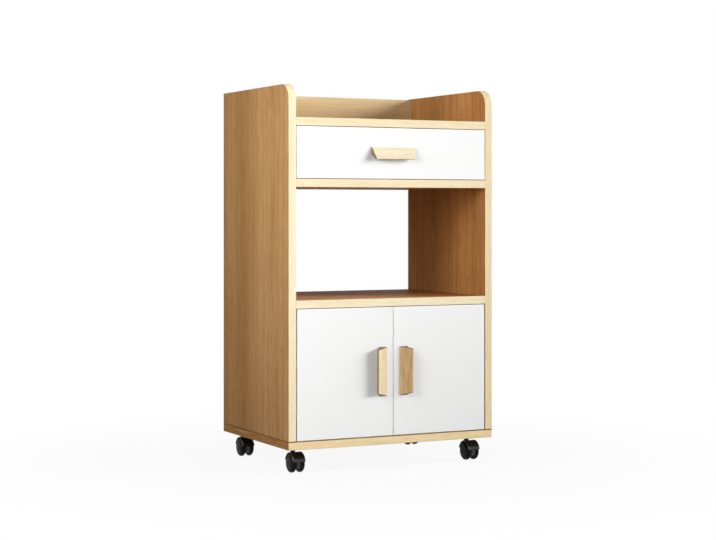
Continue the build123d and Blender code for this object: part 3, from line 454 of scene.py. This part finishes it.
def board_finish(name, faces):
    """Laminated board with a wood of its own on each of its faces."""
    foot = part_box("left_side_panel")[0].z
    material, tree, shader = start_finish(name)
    direction = face_direction(tree)
    colour = bpy.context.scene.sideboard_finish.oak_pale
    height = 0.0
    for face in faces:
        tones, grain = wood_tones(tree, face.along, face.wood)
        if face.wood.figured:
            (beside,) = set("XYZ") - {face.across, face.along}
            tones = heart_figure(tree, face.along, beside, tones)
        if face.across != "Z":
            # Painted shadow line where the panels stand on the bottom board
            tones = painted_joint_shadow(tree, foot, tones)
        if face.way == BOTH_WAYS:
            towards = sums(tree, "ABSOLUTE", direction[face.across])
        else:
            towards = sums(tree, "MULTIPLY", direction[face.across], face.way)
        here = spread(tree, towards, between=(0.66, 0.74))
        colour = mix_colours(tree, here, colour, tones)
        height = mix_values(tree, here, height, grain)
    roughness = spread(tree, height, between=(-1.0, 1.0), onto=(0.56, 0.42))
    set_surface(tree, shader, colour, roughness, height, depth=0.15 * MM, strength=0.25)
    shader.inputs["Specular IOR Level"].default_value = 0.005
    return material


def handle_finish(name, along, pale, deep, shaded_side=None):
    """Lacquered solid wood with its grain along the handle, darker on its end grain, with painted shade on
    its end faces and its gripped edge.
    """
    look = bpy.context.scene.sideboard_finish
    material, tree, shader = start_finish(name)
    colour, height = wood_tones(tree, along, Wood(pale, deep, look.oak_deep, figured=False))
    direction = face_direction(tree)
    # End faces: darker end grain with painted shade
    dark = sums(tree, "ABSOLUTE", direction[along])
    # Painted shade on the gripped edge, the side that faces this way
    if shaded_side:
        across, way = shaded_side
        edge = sums(tree, "MULTIPLY", direction[across], way)
        dark = sums(tree, "MAXIMUM", dark, edge)
    shade = spread(tree, dark, between=(0.55, 0.8), onto=(0.0, 0.9))
    colour = mix_colours(tree, shade, colour, look.handle_end)
    set_surface(tree, shader, colour, roughness=0.42, height=height, depth=0.1 * MM, strength=0.25)
    shader.inputs["Specular IOR Level"].default_value = 0.3
    return material


def white_finish(name, white, roughness, relief):
    """White faced board with a faint orange-peel relief."""
    material, tree, shader = start_finish(name)
    where = object_place(tree)
    cloud = noise(tree, where, scale=5.0, detail=3.0)
    shade = [level * 0.975 for level in white]
    colour = mix_colours(tree, cloud, white, shade)
    peel = noise(tree, where, scale=420.0)
    sheen = spread(tree, cloud, between=(0.3, 0.7), onto=(roughness - 0.04, roughness + 0.04))
    set_surface(tree, shader, colour, sheen, peel, depth=relief, strength=0.2)
    shader.inputs["Specular IOR Level"].default_value = 0.3
    return material


def thin_panel_finish(name, across, way):
    """Thin fibreboard: white on the face that looks one way along an axis, raw brown on the rest."""
    look = bpy.context.scene.sideboard_finish
    material, tree, shader = start_finish(name)
    where = object_place(tree)
    towards = sums(tree, "MULTIPLY", face_direction(tree)[across], way)
    shown = spread(tree, towards, between=(0.5, 0.7))
    flecks = noise(tree, where, scale=240.0, detail=4.0, roughness=0.7)
    cloud = noise(tree, where, scale=14.0, detail=3.0)
    pale = [level * 1.5 for level in look.fibre_brown]
    raw = mix_colours(tree, spread(tree, flecks, between=(0.35, 0.65)), look.fibre_brown, pale)
    raw = mix_colours(tree, sums(tree, "MULTIPLY", cloud, 0.4), raw, look.oak_deep)
    white = mix_colours(tree, cloud, look.box_white, [level * 0.95 for level in look.box_white])
    colour = mix_colours(tree, shown, raw, white)
    roughness = spread(tree, shown, between=(0.0, 1.0), onto=(0.75, 0.45))
    set_surface(tree, shader, colour, roughness, flecks, depth=0.1 * MM, strength=0.3)
    return material


def metal_finish(name, tint, roughness, along):
    """Plated metal with fine drawn lines along one axis."""
    material, tree, shader = start_finish(name)
    lines = noise(tree, grain_place(tree, along, squeeze=0.05), scale=1500.0, detail=3.0, roughness=0.6)
    spots = noise(tree, object_place(tree), scale=180.0, detail=3.0)
    dull = [level * 0.82 for level in tint]
    colour = mix_colours(tree, spread(tree, spots, between=(0.3, 0.7)), dull, tint)
    sheen = spread(tree, lines, between=(0.25, 0.75), onto=(roughness - 0.07, roughness + 0.09))
    set_surface(tree, shader, colour, sheen, lines, depth=0.04 * MM, strength=0.3)
    shader.inputs["Metallic"].default_value = 1.0
    return material


def plastic_finish(name, tint, roughness, relief, gloss=0.5):
    """Moulded plastic with a fine spark-textured skin."""
    material, tree, shader = start_finish(name)
    where = object_place(tree)
    cloud = noise(tree, where, scale=60.0, detail=3.0)
    skin = noise(tree, where, scale=2600.0)
    pale = [min(1.0, level * 1.25 + 0.003) for level in tint]
    colour = mix_colours(tree, cloud, tint, pale)
    sheen = spread(tree, cloud, between=(0.3, 0.7), onto=(roughness - 0.05, roughness + 0.05))
    set_surface(tree, shader, colour, sheen, skin, depth=relief, strength=0.3)
    shader.inputs["Specular IOR Level"].default_value = gloss
    return material


# Pieces and their meshes


def coat_nodes(material, *names):
    """Give CAD nodes one finish."""
    for name in names:
        mesh = cad_nodes[name].data
        mesh.materials.clear()
        mesh.materials.append(material)


def link_piece(name, mesh, material, body):
    """Add a mesh as a piece of the sideboard that moves with a body."""
    mesh.materials.append(material)
    piece = bpy.data.objects.new(name, mesh)
    bpy.context.scene.collection.objects.link(piece)
    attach(piece, body)
    return piece


def quarter_round(centre, reach, first):
    """Points of a quarter ellipse round a centre, turning clockwise from a first angle in degrees."""
    points = []
    for step in range(ROUND_STEPS + 1):
        angle = math.radians(first - 90.0 * step / ROUND_STEPS)
        points.append((centre[0] + reach[0] * math.cos(angle), centre[1] + reach[1] * math.sin(angle)))
    return points


def ring_groove(face, radius, depth, width):
    """Points of a ring groove in a turned face, inwards from its rim, with slanted walls."""
    slant = depth / 2.0
    floor = radius - slant
    return [(face - depth, floor), (face - depth, floor - width), (face, floor - width - slant)]


def turned_rings(work, profile, steps, turn):
    """Add the faces swept by a profile of (along, radius) points about the turn matrix's X axis."""
    rings = []
    for along, radius in profile:
        if radius == 0.0:
            rings.append([work.verts.new(turn @ Vector((along, 0.0, 0.0)))])
            continue
        ring = []
        for step in range(steps):
            angle = 2.0 * math.pi * step / steps
            point = Vector((along, radius * math.cos(angle), radius * math.sin(angle)))
            ring.append(work.verts.new(turn @ point))
        rings.append(ring)
    for first, second in zip(rings, rings[1:]):
        for step in range(steps):
            after = (step + 1) % steps
            corners = [first[step % len(first)], second[step % len(second)]]
            if len(second) > 1:
                corners.append(second[after])
            if len(first) > 1:
                corners.append(first[after])
            work.faces.new(corners)
    return rings


def screw_head(work, sizes, place, diameter, height):
    """Add a rounded head with a cross recess; its seat is the place's XY plane and it stands along Z."""
    radius = diameter / 2.0
    crown = radius * sizes.head_crown
    dome = quarter_round((0.0, crown), (height, radius - crown), 90.0)
    crown_ring = turned_rings(work, dome, SCREW_STEPS, place @ X_TO_Z)[-1]
    arm = radius * sizes.recess_reach
    half = radius * sizes.recess_width
    outline = []
    for quarter in range(4):
        turn = Matrix.Rotation(math.radians(90.0 * quarter), 2)
        outline += [turn @ Vector(corner) for corner in ((half, half), (half, arm), (-half, arm))]
    taper = sizes.recess_taper
    bottom = height * (1.0 - sizes.recess_depth)
    mouth = [work.verts.new(place @ Vector((x, y, height))) for x, y in outline]
    floor = [work.verts.new(place @ Vector((x * taper, y * taper, bottom))) for x, y in outline]
    edges = []
    for index, vert in enumerate(mouth):
        after = (index + 1) % len(mouth)
        work.faces.new((vert, mouth[after], floor[after], floor[index]))
        edges.append(work.edges.get((vert, mouth[after])))
    work.faces.new(floor)
    for index, vert in enumerate(crown_ring):
        after = (index + 1) % len(crown_ring)
        edges.append(work.edges.get((vert, crown_ring[after])))
    bmesh.ops.triangle_fill(work, edges=edges, use_beauty=True)


def finish_mesh(work, name, soft_turn):
    """Turn a worked mesh into mesh data with its faces outward and its soft edges smooth."""
    bmesh.ops.recalc_face_normals(work, faces=work.faces[:])
    for face in work.faces:
        face.smooth = True
    for edge in work.edges:
        edge.smooth = len(edge.link_faces) == 2 and edge.calc_face_angle() < soft_turn
    mesh = bpy.data.meshes.new(name)
    work.to_mesh(mesh)
    work.free()
    return mesh


def facing(point, direction):
    """A placement at a point whose Z axis looks in a direction."""
    turn = Vector(direction).to_track_quat("Z", "Y").to_matrix().to_4x4()
    return Matrix.Translation(point) @ turn


def screw_group(name, places, kind, body):
    """Add a group of screws of one kind that ride on one body."""
    sizes = bpy.context.scene.sideboard_fittings
    diameter = getattr(sizes, f"{kind}_diameter")
    height = getattr(sizes, f"{kind}_height")
    work = bmesh.new()
    for place in places:
        screw_head(work, sizes, place, diameter, height)
    mesh = finish_mesh(work, name, SCREW_SOFT_TURN)
    link_piece(name, mesh, bpy.data.materials["zinc_screws"], body)


# Operators, one for each group of pieces and one for the stage


class SIDEBOARD_OT_boards(bpy.types.Operator):
    """Give the side panels, shelves, bottom board and gallery rail their oak laminate."""

    bl_idname = "sideboard.boards"
    bl_label = "Oak boards"

    def execute(self, context):
        look = context.scene.sideboard_finish
        oak = Wood(look.oak_pale, look.oak_deep, look.oak_pore, figured=True)
        # Inner faces and shelf faces get oak toned with painted warm bounce light
        inside_bounce = Wood(look.inside_bounce_pale, look.inside_bounce_deep, look.oak_pore, figured=True)
        band = Wood(look.band_pale, look.band_deep, look.shaded_base_deep, figured=False)
        # Edge band darkened with painted shade, for the bottom board and the gallery rail
        shaded_base_band = Wood(look.shaded_base_pale, look.shaded_base_deep, look.shaded_base_deep, figured=False)
        for side, sign in SIDES:
            panel = (
                Face("Y", "Z", band),
                Face("Z", "Y", band),
                Face("X", "Z", oak, sign),
                Face("X", "Z", inside_bounce, -sign),
            )
            coat_nodes(board_finish(f"oak_{side}_panel", panel), f"{side}_side_panel")
        shelf = (Face("X", "Y", oak), Face("Z", "X", inside_bounce), Face("Y", "X", band))
        shelves = ("top_shelf", "drawer_divider_shelf", "middle_shelf")
        coat_nodes(board_finish("oak_shelf", shelf), *shelves)
        base = (Face("X", "Y", oak), Face("Z", "X", inside_bounce), Face("Y", "X", shaded_base_band))
        coat_nodes(board_finish("oak_base", base), "bottom_board")
        rail = (Face("X", "Z", oak), Face("Z", "X", shaded_base_band), Face("Y", "X", shaded_base_band))
        coat_nodes(board_finish("oak_rail", rail), "gallery_back_rail")
        return {"FINISHED"}


class SIDEBOARD_OT_fronts(bpy.types.Operator):
    """Give the drawer front and the doors their white facing."""

    bl_idname = "sideboard.fronts"
    bl_label = "White fronts"

    def execute(self, context):
        look = context.scene.sideboard_finish
        white = white_finish("white_front", look.front_white, roughness=0.36, relief=0.03 * MM)
        coat_nodes(white, "drawer_front", "left_door", "right_door")
        return {"FINISHED"}


class SIDEBOARD_OT_joinery(bpy.types.Operator):
    """Finish the cam locks, cam bolts, dowels and base screws, and the steel of the small screws."""

    bl_idname = "sideboard.joinery"
    bl_label = "Joinery fittings"

    def execute(self, context):
        look = context.scene.sideboard_finish
        cast = [level * 0.8 for level in look.zinc]
        metal_finish("zinc_screws", look.zinc, roughness=0.28, along="Z")
        coat_nodes(metal_finish("cam_zinc", cast, roughness=0.45, along="X"), "cam_locks")
        bolt = metal_finish("bolt_steel", look.zinc, roughness=0.3, along="X")
        coat_nodes(bolt, "cam_bolts", "bottom_board_screws")
        dowel = handle_finish("dowel_beech", "X", look.handle_pale, look.handle_deep)
        coat_nodes(dowel, "wooden_dowels")
        drawer_dowel = handle_finish("drawer_dowel_beech", "Y", look.handle_pale, look.handle_deep)
        coat_nodes(drawer_dowel, "drawer_dowels")
        return {"FINISHED"}


class SIDEBOARD_OT_handles(bpy.types.Operator):
    """Give the wedge handles their wood, and screw them on from behind."""

    bl_idname = "sideboard.handles"
    bl_label = "Wedge handles"

    def execute(self, context):
        look = context.scene.sideboard_finish
        level = handle_finish("handle_level", "X", look.handle_pale, look.handle_deep, shaded_side=("Z", -1))
        # Door handles get the handle wood with painted shade on their faces
        straw = handle_finish("handle_straw", "Z", look.handle_straw, look.handle_honey, shaded_side=("X", -1))
        brown = handle_finish("handle_brown", "Z", look.handle_tan, look.handle_brown, shaded_side=("X", 1))
        coat_nodes(level, "drawer_handle")
        coat_nodes(straw, "left_door_handle")
        coat_nodes(brown, "right_door_handle")
        half = context.scene.sideboard_fittings.handle_screw_spacing / 2.0
        self.screw_on("drawer_handle", "drawer_front", "drawer", Vector((half, 0, 0)))
        for side, _ in SIDES:
            self.screw_on(f"{side}_door_handle", f"{side}_door", f"{side}_door", Vector((0, 0, half)))
        return {"FINISHED"}

    def screw_on(self, handle, front, body, offset):
        """Two screws on a front's rear face, an offset to both sides of the handle's middle."""
        low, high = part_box(handle)
        middle = (low + high) / 2.0
        middle.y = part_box(front)[1].y
        places = [facing(middle + end * offset, (0, 1, 0)) for end in ENDS]
        screw_group(f"{handle}_screws", places, "truss", body)


class SIDEBOARD_OT_drawer_box(bpy.types.Operator):
    """Give the drawer box and the thin panels their finishes."""

    bl_idname = "sideboard.drawer_box"
    bl_label = "Drawer box and thin panels"

    def execute(self, context):
        look = context.scene.sideboard_finish
        box = white_finish("drawer_box_white", look.box_white, roughness=0.5, relief=0.06 * MM)
        coat_nodes(box, "drawer_left_side", "drawer_right_side", "drawer_back")
        coat_nodes(thin_panel_finish("drawer_bottom_board", across="Z", way=1), "drawer_bottom")
        back = thin_panel_finish("back_board", across="Y", way=-1)
        coat_nodes(back, "drawer_bay_back_panel", "cupboard_back_panel")
        return {"FINISHED"}


class SIDEBOARD_OT_runners(bpy.types.Operator):
    """Coat the roller runners and screw them to the panels and to the drawer sides."""

    bl_idname = "sideboard.runners"
    bl_label = "Drawer runners"

    def execute(self, context):
        look = context.scene.sideboard_finish
        sizes = context.scene.sideboard_fittings
        coat = plastic_finish("runner_coat", look.runner_white, roughness=0.4, relief=0.03 * MM)
        nylon = plastic_finish("nylon", look.nylon, roughness=0.42, relief=0.02 * MM)
        for side, sign in SIDES:
            coat_nodes(coat, f"{side}_drawer_runner", f"{side}_drawer_rail")
            coat_nodes(nylon, f"{side}_runner_roller", f"{side}_rail_roller")
            low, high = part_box(f"{side}_drawer_runner")
            panel_x = low.x if sign < 0 else high.x
            web_x = panel_x - sign * sizes.sheet
            level = low.z + sizes.runner_screw_height
            rows = self.rows(low.y, high.y, sizes.runner_screw_from_end)
            places = [facing((web_x, y, level), (-sign, 0, 0)) for y in rows]
            screw_group(f"{side}_runner_screws", places, "pan", "cabinet")
            low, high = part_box(f"{side}_drawer_rail")
            side_low, side_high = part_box(f"drawer_{side}_side")
            line_x = (side_low.x + side_high.x) / 2.0 + sign * sizes.sheet
            rows = self.rows(low.y, high.y, sizes.runner_screw_from_end)
            places = [facing((line_x, y, low.z), (0, 0, -1)) for y in rows]
            screw_group(f"{side}_rail_screws", places, "pan", "drawer")
        return {"FINISHED"}

    def rows(self, front, rear, from_end):
        """Where screws go along a runner: near both its ends and at its middle."""
        return front + from_end, (front + rear) / 2.0, rear - from_end


class SIDEBOARD_OT_hinges(bpy.types.Operator):
    """Plate the concealed hinges and add their screws."""

    bl_idname = "sideboard.hinges"
    bl_label = "Concealed hinges"

    def execute(self, context):
        look = context.scene.sideboard_finish
        sizes = context.scene.sideboard_fittings
        plated = metal_finish("hinge_steel", look.zinc, roughness=0.3, along="Y")
        pin = metal_finish("pin_steel", look.zinc, roughness=0.24, along="Z")
        coat_nodes(plated, "hinge_arms", "hinge_plates")
        plate_low, plate_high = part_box("hinge_plates")
        line_y = (plate_low.y + plate_high.y) / 2.0
        plate_half = sizes.plate_screw_spacing / 2.0
        cup_half = sizes.cup_screw_spacing / 2.0
        for side, sign in SIDES:
            coat_nodes(plated, f"{side}_hinge_cups")
            coat_nodes(pin, f"{side}_hinge_pins")
            levels = self.levels(side)
            inward = (-sign, 0, 0)
            panel_x = plate_low.x if sign < 0 else plate_high.x
            wing_x = panel_x - sign * sizes.wing_thickness
            heights = [z + end * plate_half for z in levels for end in ENDS]
            places = [facing((wing_x, line_y, z), inward) for z in heights]
            screw_group(f"{side}_plate_screws", places, "flat", "cabinet")
            arm_x = panel_x - sign * sizes.arm_stand
            places = [facing((arm_x, line_y, z), inward) for z in levels]
            screw_group(f"{side}_arm_screws", places, "flat", "cabinet")
            cup_low, cup_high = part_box(f"{side}_hinge_cups")
            line_x = (cup_low.x + cup_high.x) / 2.0 - sign * sizes.cup_screw_offset
            heights = [z + end * cup_half for z in levels for end in ENDS]
            places = [facing((line_x, cup_high.y, z), (0, 1, 0)) for z in heights]
            screw_group(f"{side}_cup_screws", places, "flat", f"{side}_door")
        return {"FINISHED"}

    def levels(self, side):
        """Heights of a door's two hinges, taken from the pins."""
        heights = sorted(vertex.co.z for vertex in cad_nodes[f"{side}_hinge_pins"].data.vertices)
        middle = (heights[0] + heights[-1]) / 2.0
        groups = ([z for z in heights if z < middle], [z for z in heights if z > middle])
        return [(group[0] + group[-1]) / 2.0 for group in groups]


class SIDEBOARD_OT_catch(bpy.types.Operator):
    """Finish the magnetic catch, with its pole plates and screws, and the strike plates."""

    bl_idname = "sideboard.catch"
    bl_label = "Magnetic catch"

    def execute(self, context):
        look = context.scene.sideboard_finish
        sizes = context.scene.sideboard_fittings
        coat_nodes(bpy.data.materials["nylon"], "magnetic_catch")
        strike = metal_finish("strike_steel", look.zinc, roughness=0.3, along="X")
        coat_nodes(strike, "left_strike_plate", "right_strike_plate")
        low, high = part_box("magnetic_catch")
        middle = (low + high) / 2.0
        work = bmesh.new()
        for side, _ in SIDES:
            strike_low, strike_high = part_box(f"{side}_strike_plate")
            pole_x = (strike_low.x + strike_high.x) / 2.0
            for row in ENDS:
                pole_z = middle.z + row * sizes.pole_spacing / 2.0
                self.pole_plate(work, sizes, (pole_x, low.y + sizes.pole_set_back, pole_z))
        mesh = finish_mesh(work, "catch_pole_plates", SCREW_SOFT_TURN)
        link_piece("catch_pole_plates", mesh, strike, "cabinet")
        half = sizes.catch_screw_spacing / 2.0
        places = [facing((end * half, middle.y, low.z), (0, 0, -1)) for end in ENDS]
        screw_group("catch_screws", places, "small", "cabinet")
        return {"FINISHED"}

    def pole_plate(self, work, sizes, centre):
        """Add a steel plate with rounded edges round a centre."""
        scale = Matrix.Diagonal((sizes.pole_width, sizes.pole_depth, sizes.pole_height, 1.0))
        place = Matrix.Translation(centre) @ scale
        made = bmesh.ops.create_cube(work, size=1.0, matrix=place)
        rims = {edge for vert in made["verts"] for edge in vert.link_edges}
        bmesh.ops.bevel(work, geom=list(rims), offset=sizes.pole_rounding, segments=2, affect="EDGES")


class SIDEBOARD_OT_casters(bpy.types.Operator):
    """Finish the caster hoods and stems, and turn the twin wheels with treads and hub caps."""

    bl_idname = "sideboard.casters"
    bl_label = "Swivel casters"

    def execute(self, context):
        look = context.scene.sideboard_finish
        sizes = context.scene.sideboard_casters
        skin = 0.02 * MM
        shell = plastic_finish("caster_shell", look.caster_black, roughness=0.2, relief=skin)
        wheel = plastic_finish("caster_wheel", look.tread_black, roughness=0.34, relief=skin, gloss=0.06)
        steel = metal_finish("caster_steel", look.zinc, roughness=0.3, along="Z")
        coat_nodes(steel, "caster_stems", "caster_inserts")
        for corner in CORNERS:
            coat_nodes(shell, f"{corner}_caster_hood")
            coat_nodes(steel, f"{corner}_caster_axle")
            for side, sign in SIDES:
                node = f"{corner}_caster_{side}_wheel"
                self.turn_wheel(sizes, node, f"{corner}_{side}_wheel", sign, wheel)
        return {"FINISHED"}

    def turn_wheel(self, sizes, node, body, sign, material):
        """A wheel with a rounded tread, a ring groove and a shallow hub cap on its outer face."""
        low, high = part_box(node)
        middle = (low + high) / 2.0
        inner_x = high.x if sign < 0 else low.x
        radius = (high.z - low.z) / 2.0
        width = high.x - low.x
        bore = sizes.wheel_bore / 2.0
        inner, outer = sizes.inner_rim_round, sizes.outer_rim_round
        boss, boss_round = sizes.boss_diameter / 2.0, sizes.boss_round
        cap_face = width - sizes.boss_stand
        rim_face = cap_face - sizes.cap_stand
        rim = radius - outer
        groove = ring_groove(rim_face, rim, sizes.groove_depth, sizes.groove_width)
        boss_groove = ring_groove(cap_face, boss, sizes.groove_depth, sizes.groove_width)
        cap = groove[-1][1]
        boss_rim = boss_groove[-1][1]
        profile = [
            (sizes.wheel_bore_depth, 0.0),
            (sizes.wheel_bore_depth, bore),
            (0.0, bore),
            *quarter_round((inner, radius - inner), (inner, inner), 180.0),
            *quarter_round((rim_face - outer, rim), (outer, outer), 90.0),
            *groove,
            *quarter_round((rim_face, boss), (sizes.cap_stand, cap - boss), 90.0)[1:],
            *boss_groove,
            *quarter_round((cap_face, boss_rim - boss_round), (sizes.boss_stand, boss_round), 90.0)[1:],
            (width, 0.0),
        ]
        turn = Matrix.Translation((inner_x, middle.y, middle.z)) @ Matrix.Diagonal((sign, 1.0, 1.0, 1.0))
        work = bmesh.new()
        turned_rings(work, profile, WHEEL_STEPS, turn)
        name = node.replace("_caster", "") + "_turned"
        mesh = finish_mesh(work, name, WHEEL_SOFT_TURN)
        piece = link_piece(name, mesh, material, body)
        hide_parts(node)


class SIDEBOARD_OT_studio(bpy.types.Operator):
    """Set up the pale floor, the soft lamps, the sky and the camera."""

    bl_idname = "sideboard.studio"
    bl_label = "Studio"

    def execute(self, context):
        scene = context.scene
        studio = scene.sideboard_studio
        self.lay_floor(scene, studio)
        for lamp in LAMPS:
            self.hang_lamp(scene, lamp, getattr(studio, f"{lamp.name}_power"))
        self.paint_sky(scene, studio)
        self.set_camera(scene, studio)
        scene.view_settings.view_transform = "Standard"
        return {"FINISHED"}

    def lay_floor(self, scene, studio):
        """A pale round floor that takes a shadow and fades to white at its rim."""
        work = bmesh.new()
        bmesh.ops.create_circle(work, cap_ends=True, segments=FLOOR_STEPS, radius=studio.floor_radius)
        mesh = bpy.data.meshes.new("floor")
        work.to_mesh(mesh)
        work.free()
        floor = bpy.data.objects.new("floor", mesh)
        scene.collection.objects.link(floor)
        material, tree, shader = start_finish("pale_floor")
        where = object_place(tree)
        speck = noise(tree, where, scale=30.0, detail=3.0)
        colour = mix_colours(tree, speck, studio.floor_pale, studio.floor_deep)
        set_input(tree, shader.inputs["Base Color"], colour)
        shader.inputs["Roughness"].default_value = 0.8
        reach = put(tree, "ShaderNodeVectorMath", {0: where}, operation="LENGTH").outputs["Value"]
        fade = spread(tree, reach, (studio.fade_from, studio.fade_to), (studio.fade_share, 1.0))
        share = sums(tree, "MULTIPLY", fade, self.straight_rays(tree))
        white = put(tree, "ShaderNodeEmission", {"Color": WHITE, "Strength": 1.0})
        mix = put(tree, "ShaderNodeMixShader", {0: share, 1: shader.outputs[0], 2: white.outputs[0]})
        tree.links.new(mix.outputs[0], tree.nodes["Material Output"].inputs["Surface"])
        mesh.materials.append(material)

    def straight_rays(self, tree):
        """One where the camera, a gloss or a clear material looks at the background, else nought."""
        path = put(tree, "ShaderNodeLightPath").outputs
        seen = sums(tree, "MAXIMUM", path["Is Camera Ray"], path["Is Glossy Ray"])
        return sums(tree, "MAXIMUM", seen, path["Is Transmission Ray"])

    def hang_lamp(self, scene, lamp, power):
        """A square soft lamp that looks at its target."""
        light = bpy.data.lights.new(lamp.name, "AREA")
        light.shape = "SQUARE"
        light.size = lamp.size
        light.spread = math.radians(lamp.opening)
        light.energy = power
        stand = bpy.data.objects.new(lamp.name, light)
        stand.location = lamp.place
        view = Vector(lamp.target) - Vector(lamp.place)
        stand.rotation_euler = view.to_track_quat("-Z", "Y").to_euler()
        scene.collection.objects.link(stand)

    def paint_sky(self, scene, studio):
        """A dim, even sky that the camera sees as plain white."""
        world = bpy.data.worlds.new("sky")
        world.use_nodes = True
        scene.world = world
        tree = world.node_tree
        even = put(tree, "ShaderNodeBackground", {"Color": WHITE, "Strength": studio.sky_level})
        white = put(tree, "ShaderNodeBackground", {"Color": WHITE, "Strength": 1.0})
        seen = self.straight_rays(tree)
        mix = put(tree, "ShaderNodeMixShader", {0: seen, 1: even.outputs[0], 2: white.outputs[0]})
        tree.links.new(mix.outputs[0], tree.nodes["World Output"].inputs["Surface"])

    def set_camera(self, scene, studio):
        """A level camera at the photograph's viewing angle."""
        camera = bpy.data.cameras.new("camera")
        camera.sensor_width = studio.camera_frame
        camera.lens = studio.camera_lens
        camera.shift_y = studio.camera_drop
        stand = bpy.data.objects.new("camera", camera)
        stand.location = studio.camera_place
        stand.rotation_euler = (math.radians(90.0), 0.0, -studio.camera_turn)
        scene.collection.objects.link(stand)
        scene.camera = stand


# Panel, registration and run


SETTINGS = {
    "sideboard_finish": SideboardFinish,
    "sideboard_grain": SideboardGrain,
    "sideboard_fittings": SideboardFittings,
    "sideboard_casters": SideboardCasters,
    "sideboard_studio": SideboardStudio,
}

OPERATORS = (
    SIDEBOARD_OT_boards,
    SIDEBOARD_OT_fronts,
    SIDEBOARD_OT_joinery,
    SIDEBOARD_OT_handles,
    SIDEBOARD_OT_drawer_box,
    SIDEBOARD_OT_runners,
    SIDEBOARD_OT_hinges,
    SIDEBOARD_OT_catch,
    SIDEBOARD_OT_casters,
    SIDEBOARD_OT_studio,
)


class SIDEBOARD_PT_panel(bpy.types.Panel):
    """Finishes and fittings of the wheeled sideboard."""

    bl_idname = "SIDEBOARD_PT_panel"
    bl_label = "Wheeled sideboard"
    bl_space_type = "VIEW_3D"
    bl_region_type = "UI"
    bl_category = "Sideboard"

    def draw(self, context):
        for operator in OPERATORS:
            self.layout.operator(operator.bl_idname)
        for name, group in SETTINGS.items():
            column = self.layout.column()
            for setting in group.__annotations__:
                column.prop(getattr(context.scene, name), setting)


CLASSES = (*SETTINGS.values(), *OPERATORS, SIDEBOARD_PT_panel)


def register():
    """Register the classes and the scene's settings."""
    for item in CLASSES:
        bpy.utils.register_class(item)
    for name, group in SETTINGS.items():
        setattr(bpy.types.Scene, name, bpy.props.PointerProperty(type=group))


def unregister():
    """Remove the settings and the classes."""
    for name in SETTINGS:
        delattr(bpy.types.Scene, name)
    for item in reversed(CLASSES):
        bpy.utils.unregister_class(item)


def main():
    """Dress the sideboard piece by piece."""
    register()
    bpy.ops.sideboard.boards()
    bpy.ops.sideboard.fronts()
    bpy.ops.sideboard.joinery()
    bpy.ops.sideboard.handles()
    bpy.ops.sideboard.drawer_box()
    bpy.ops.sideboard.runners()
    bpy.ops.sideboard.hinges()
    bpy.ops.sideboard.catch()
    bpy.ops.sideboard.casters()
    bpy.ops.sideboard.studio()


if __name__ == "__main__":
    main()
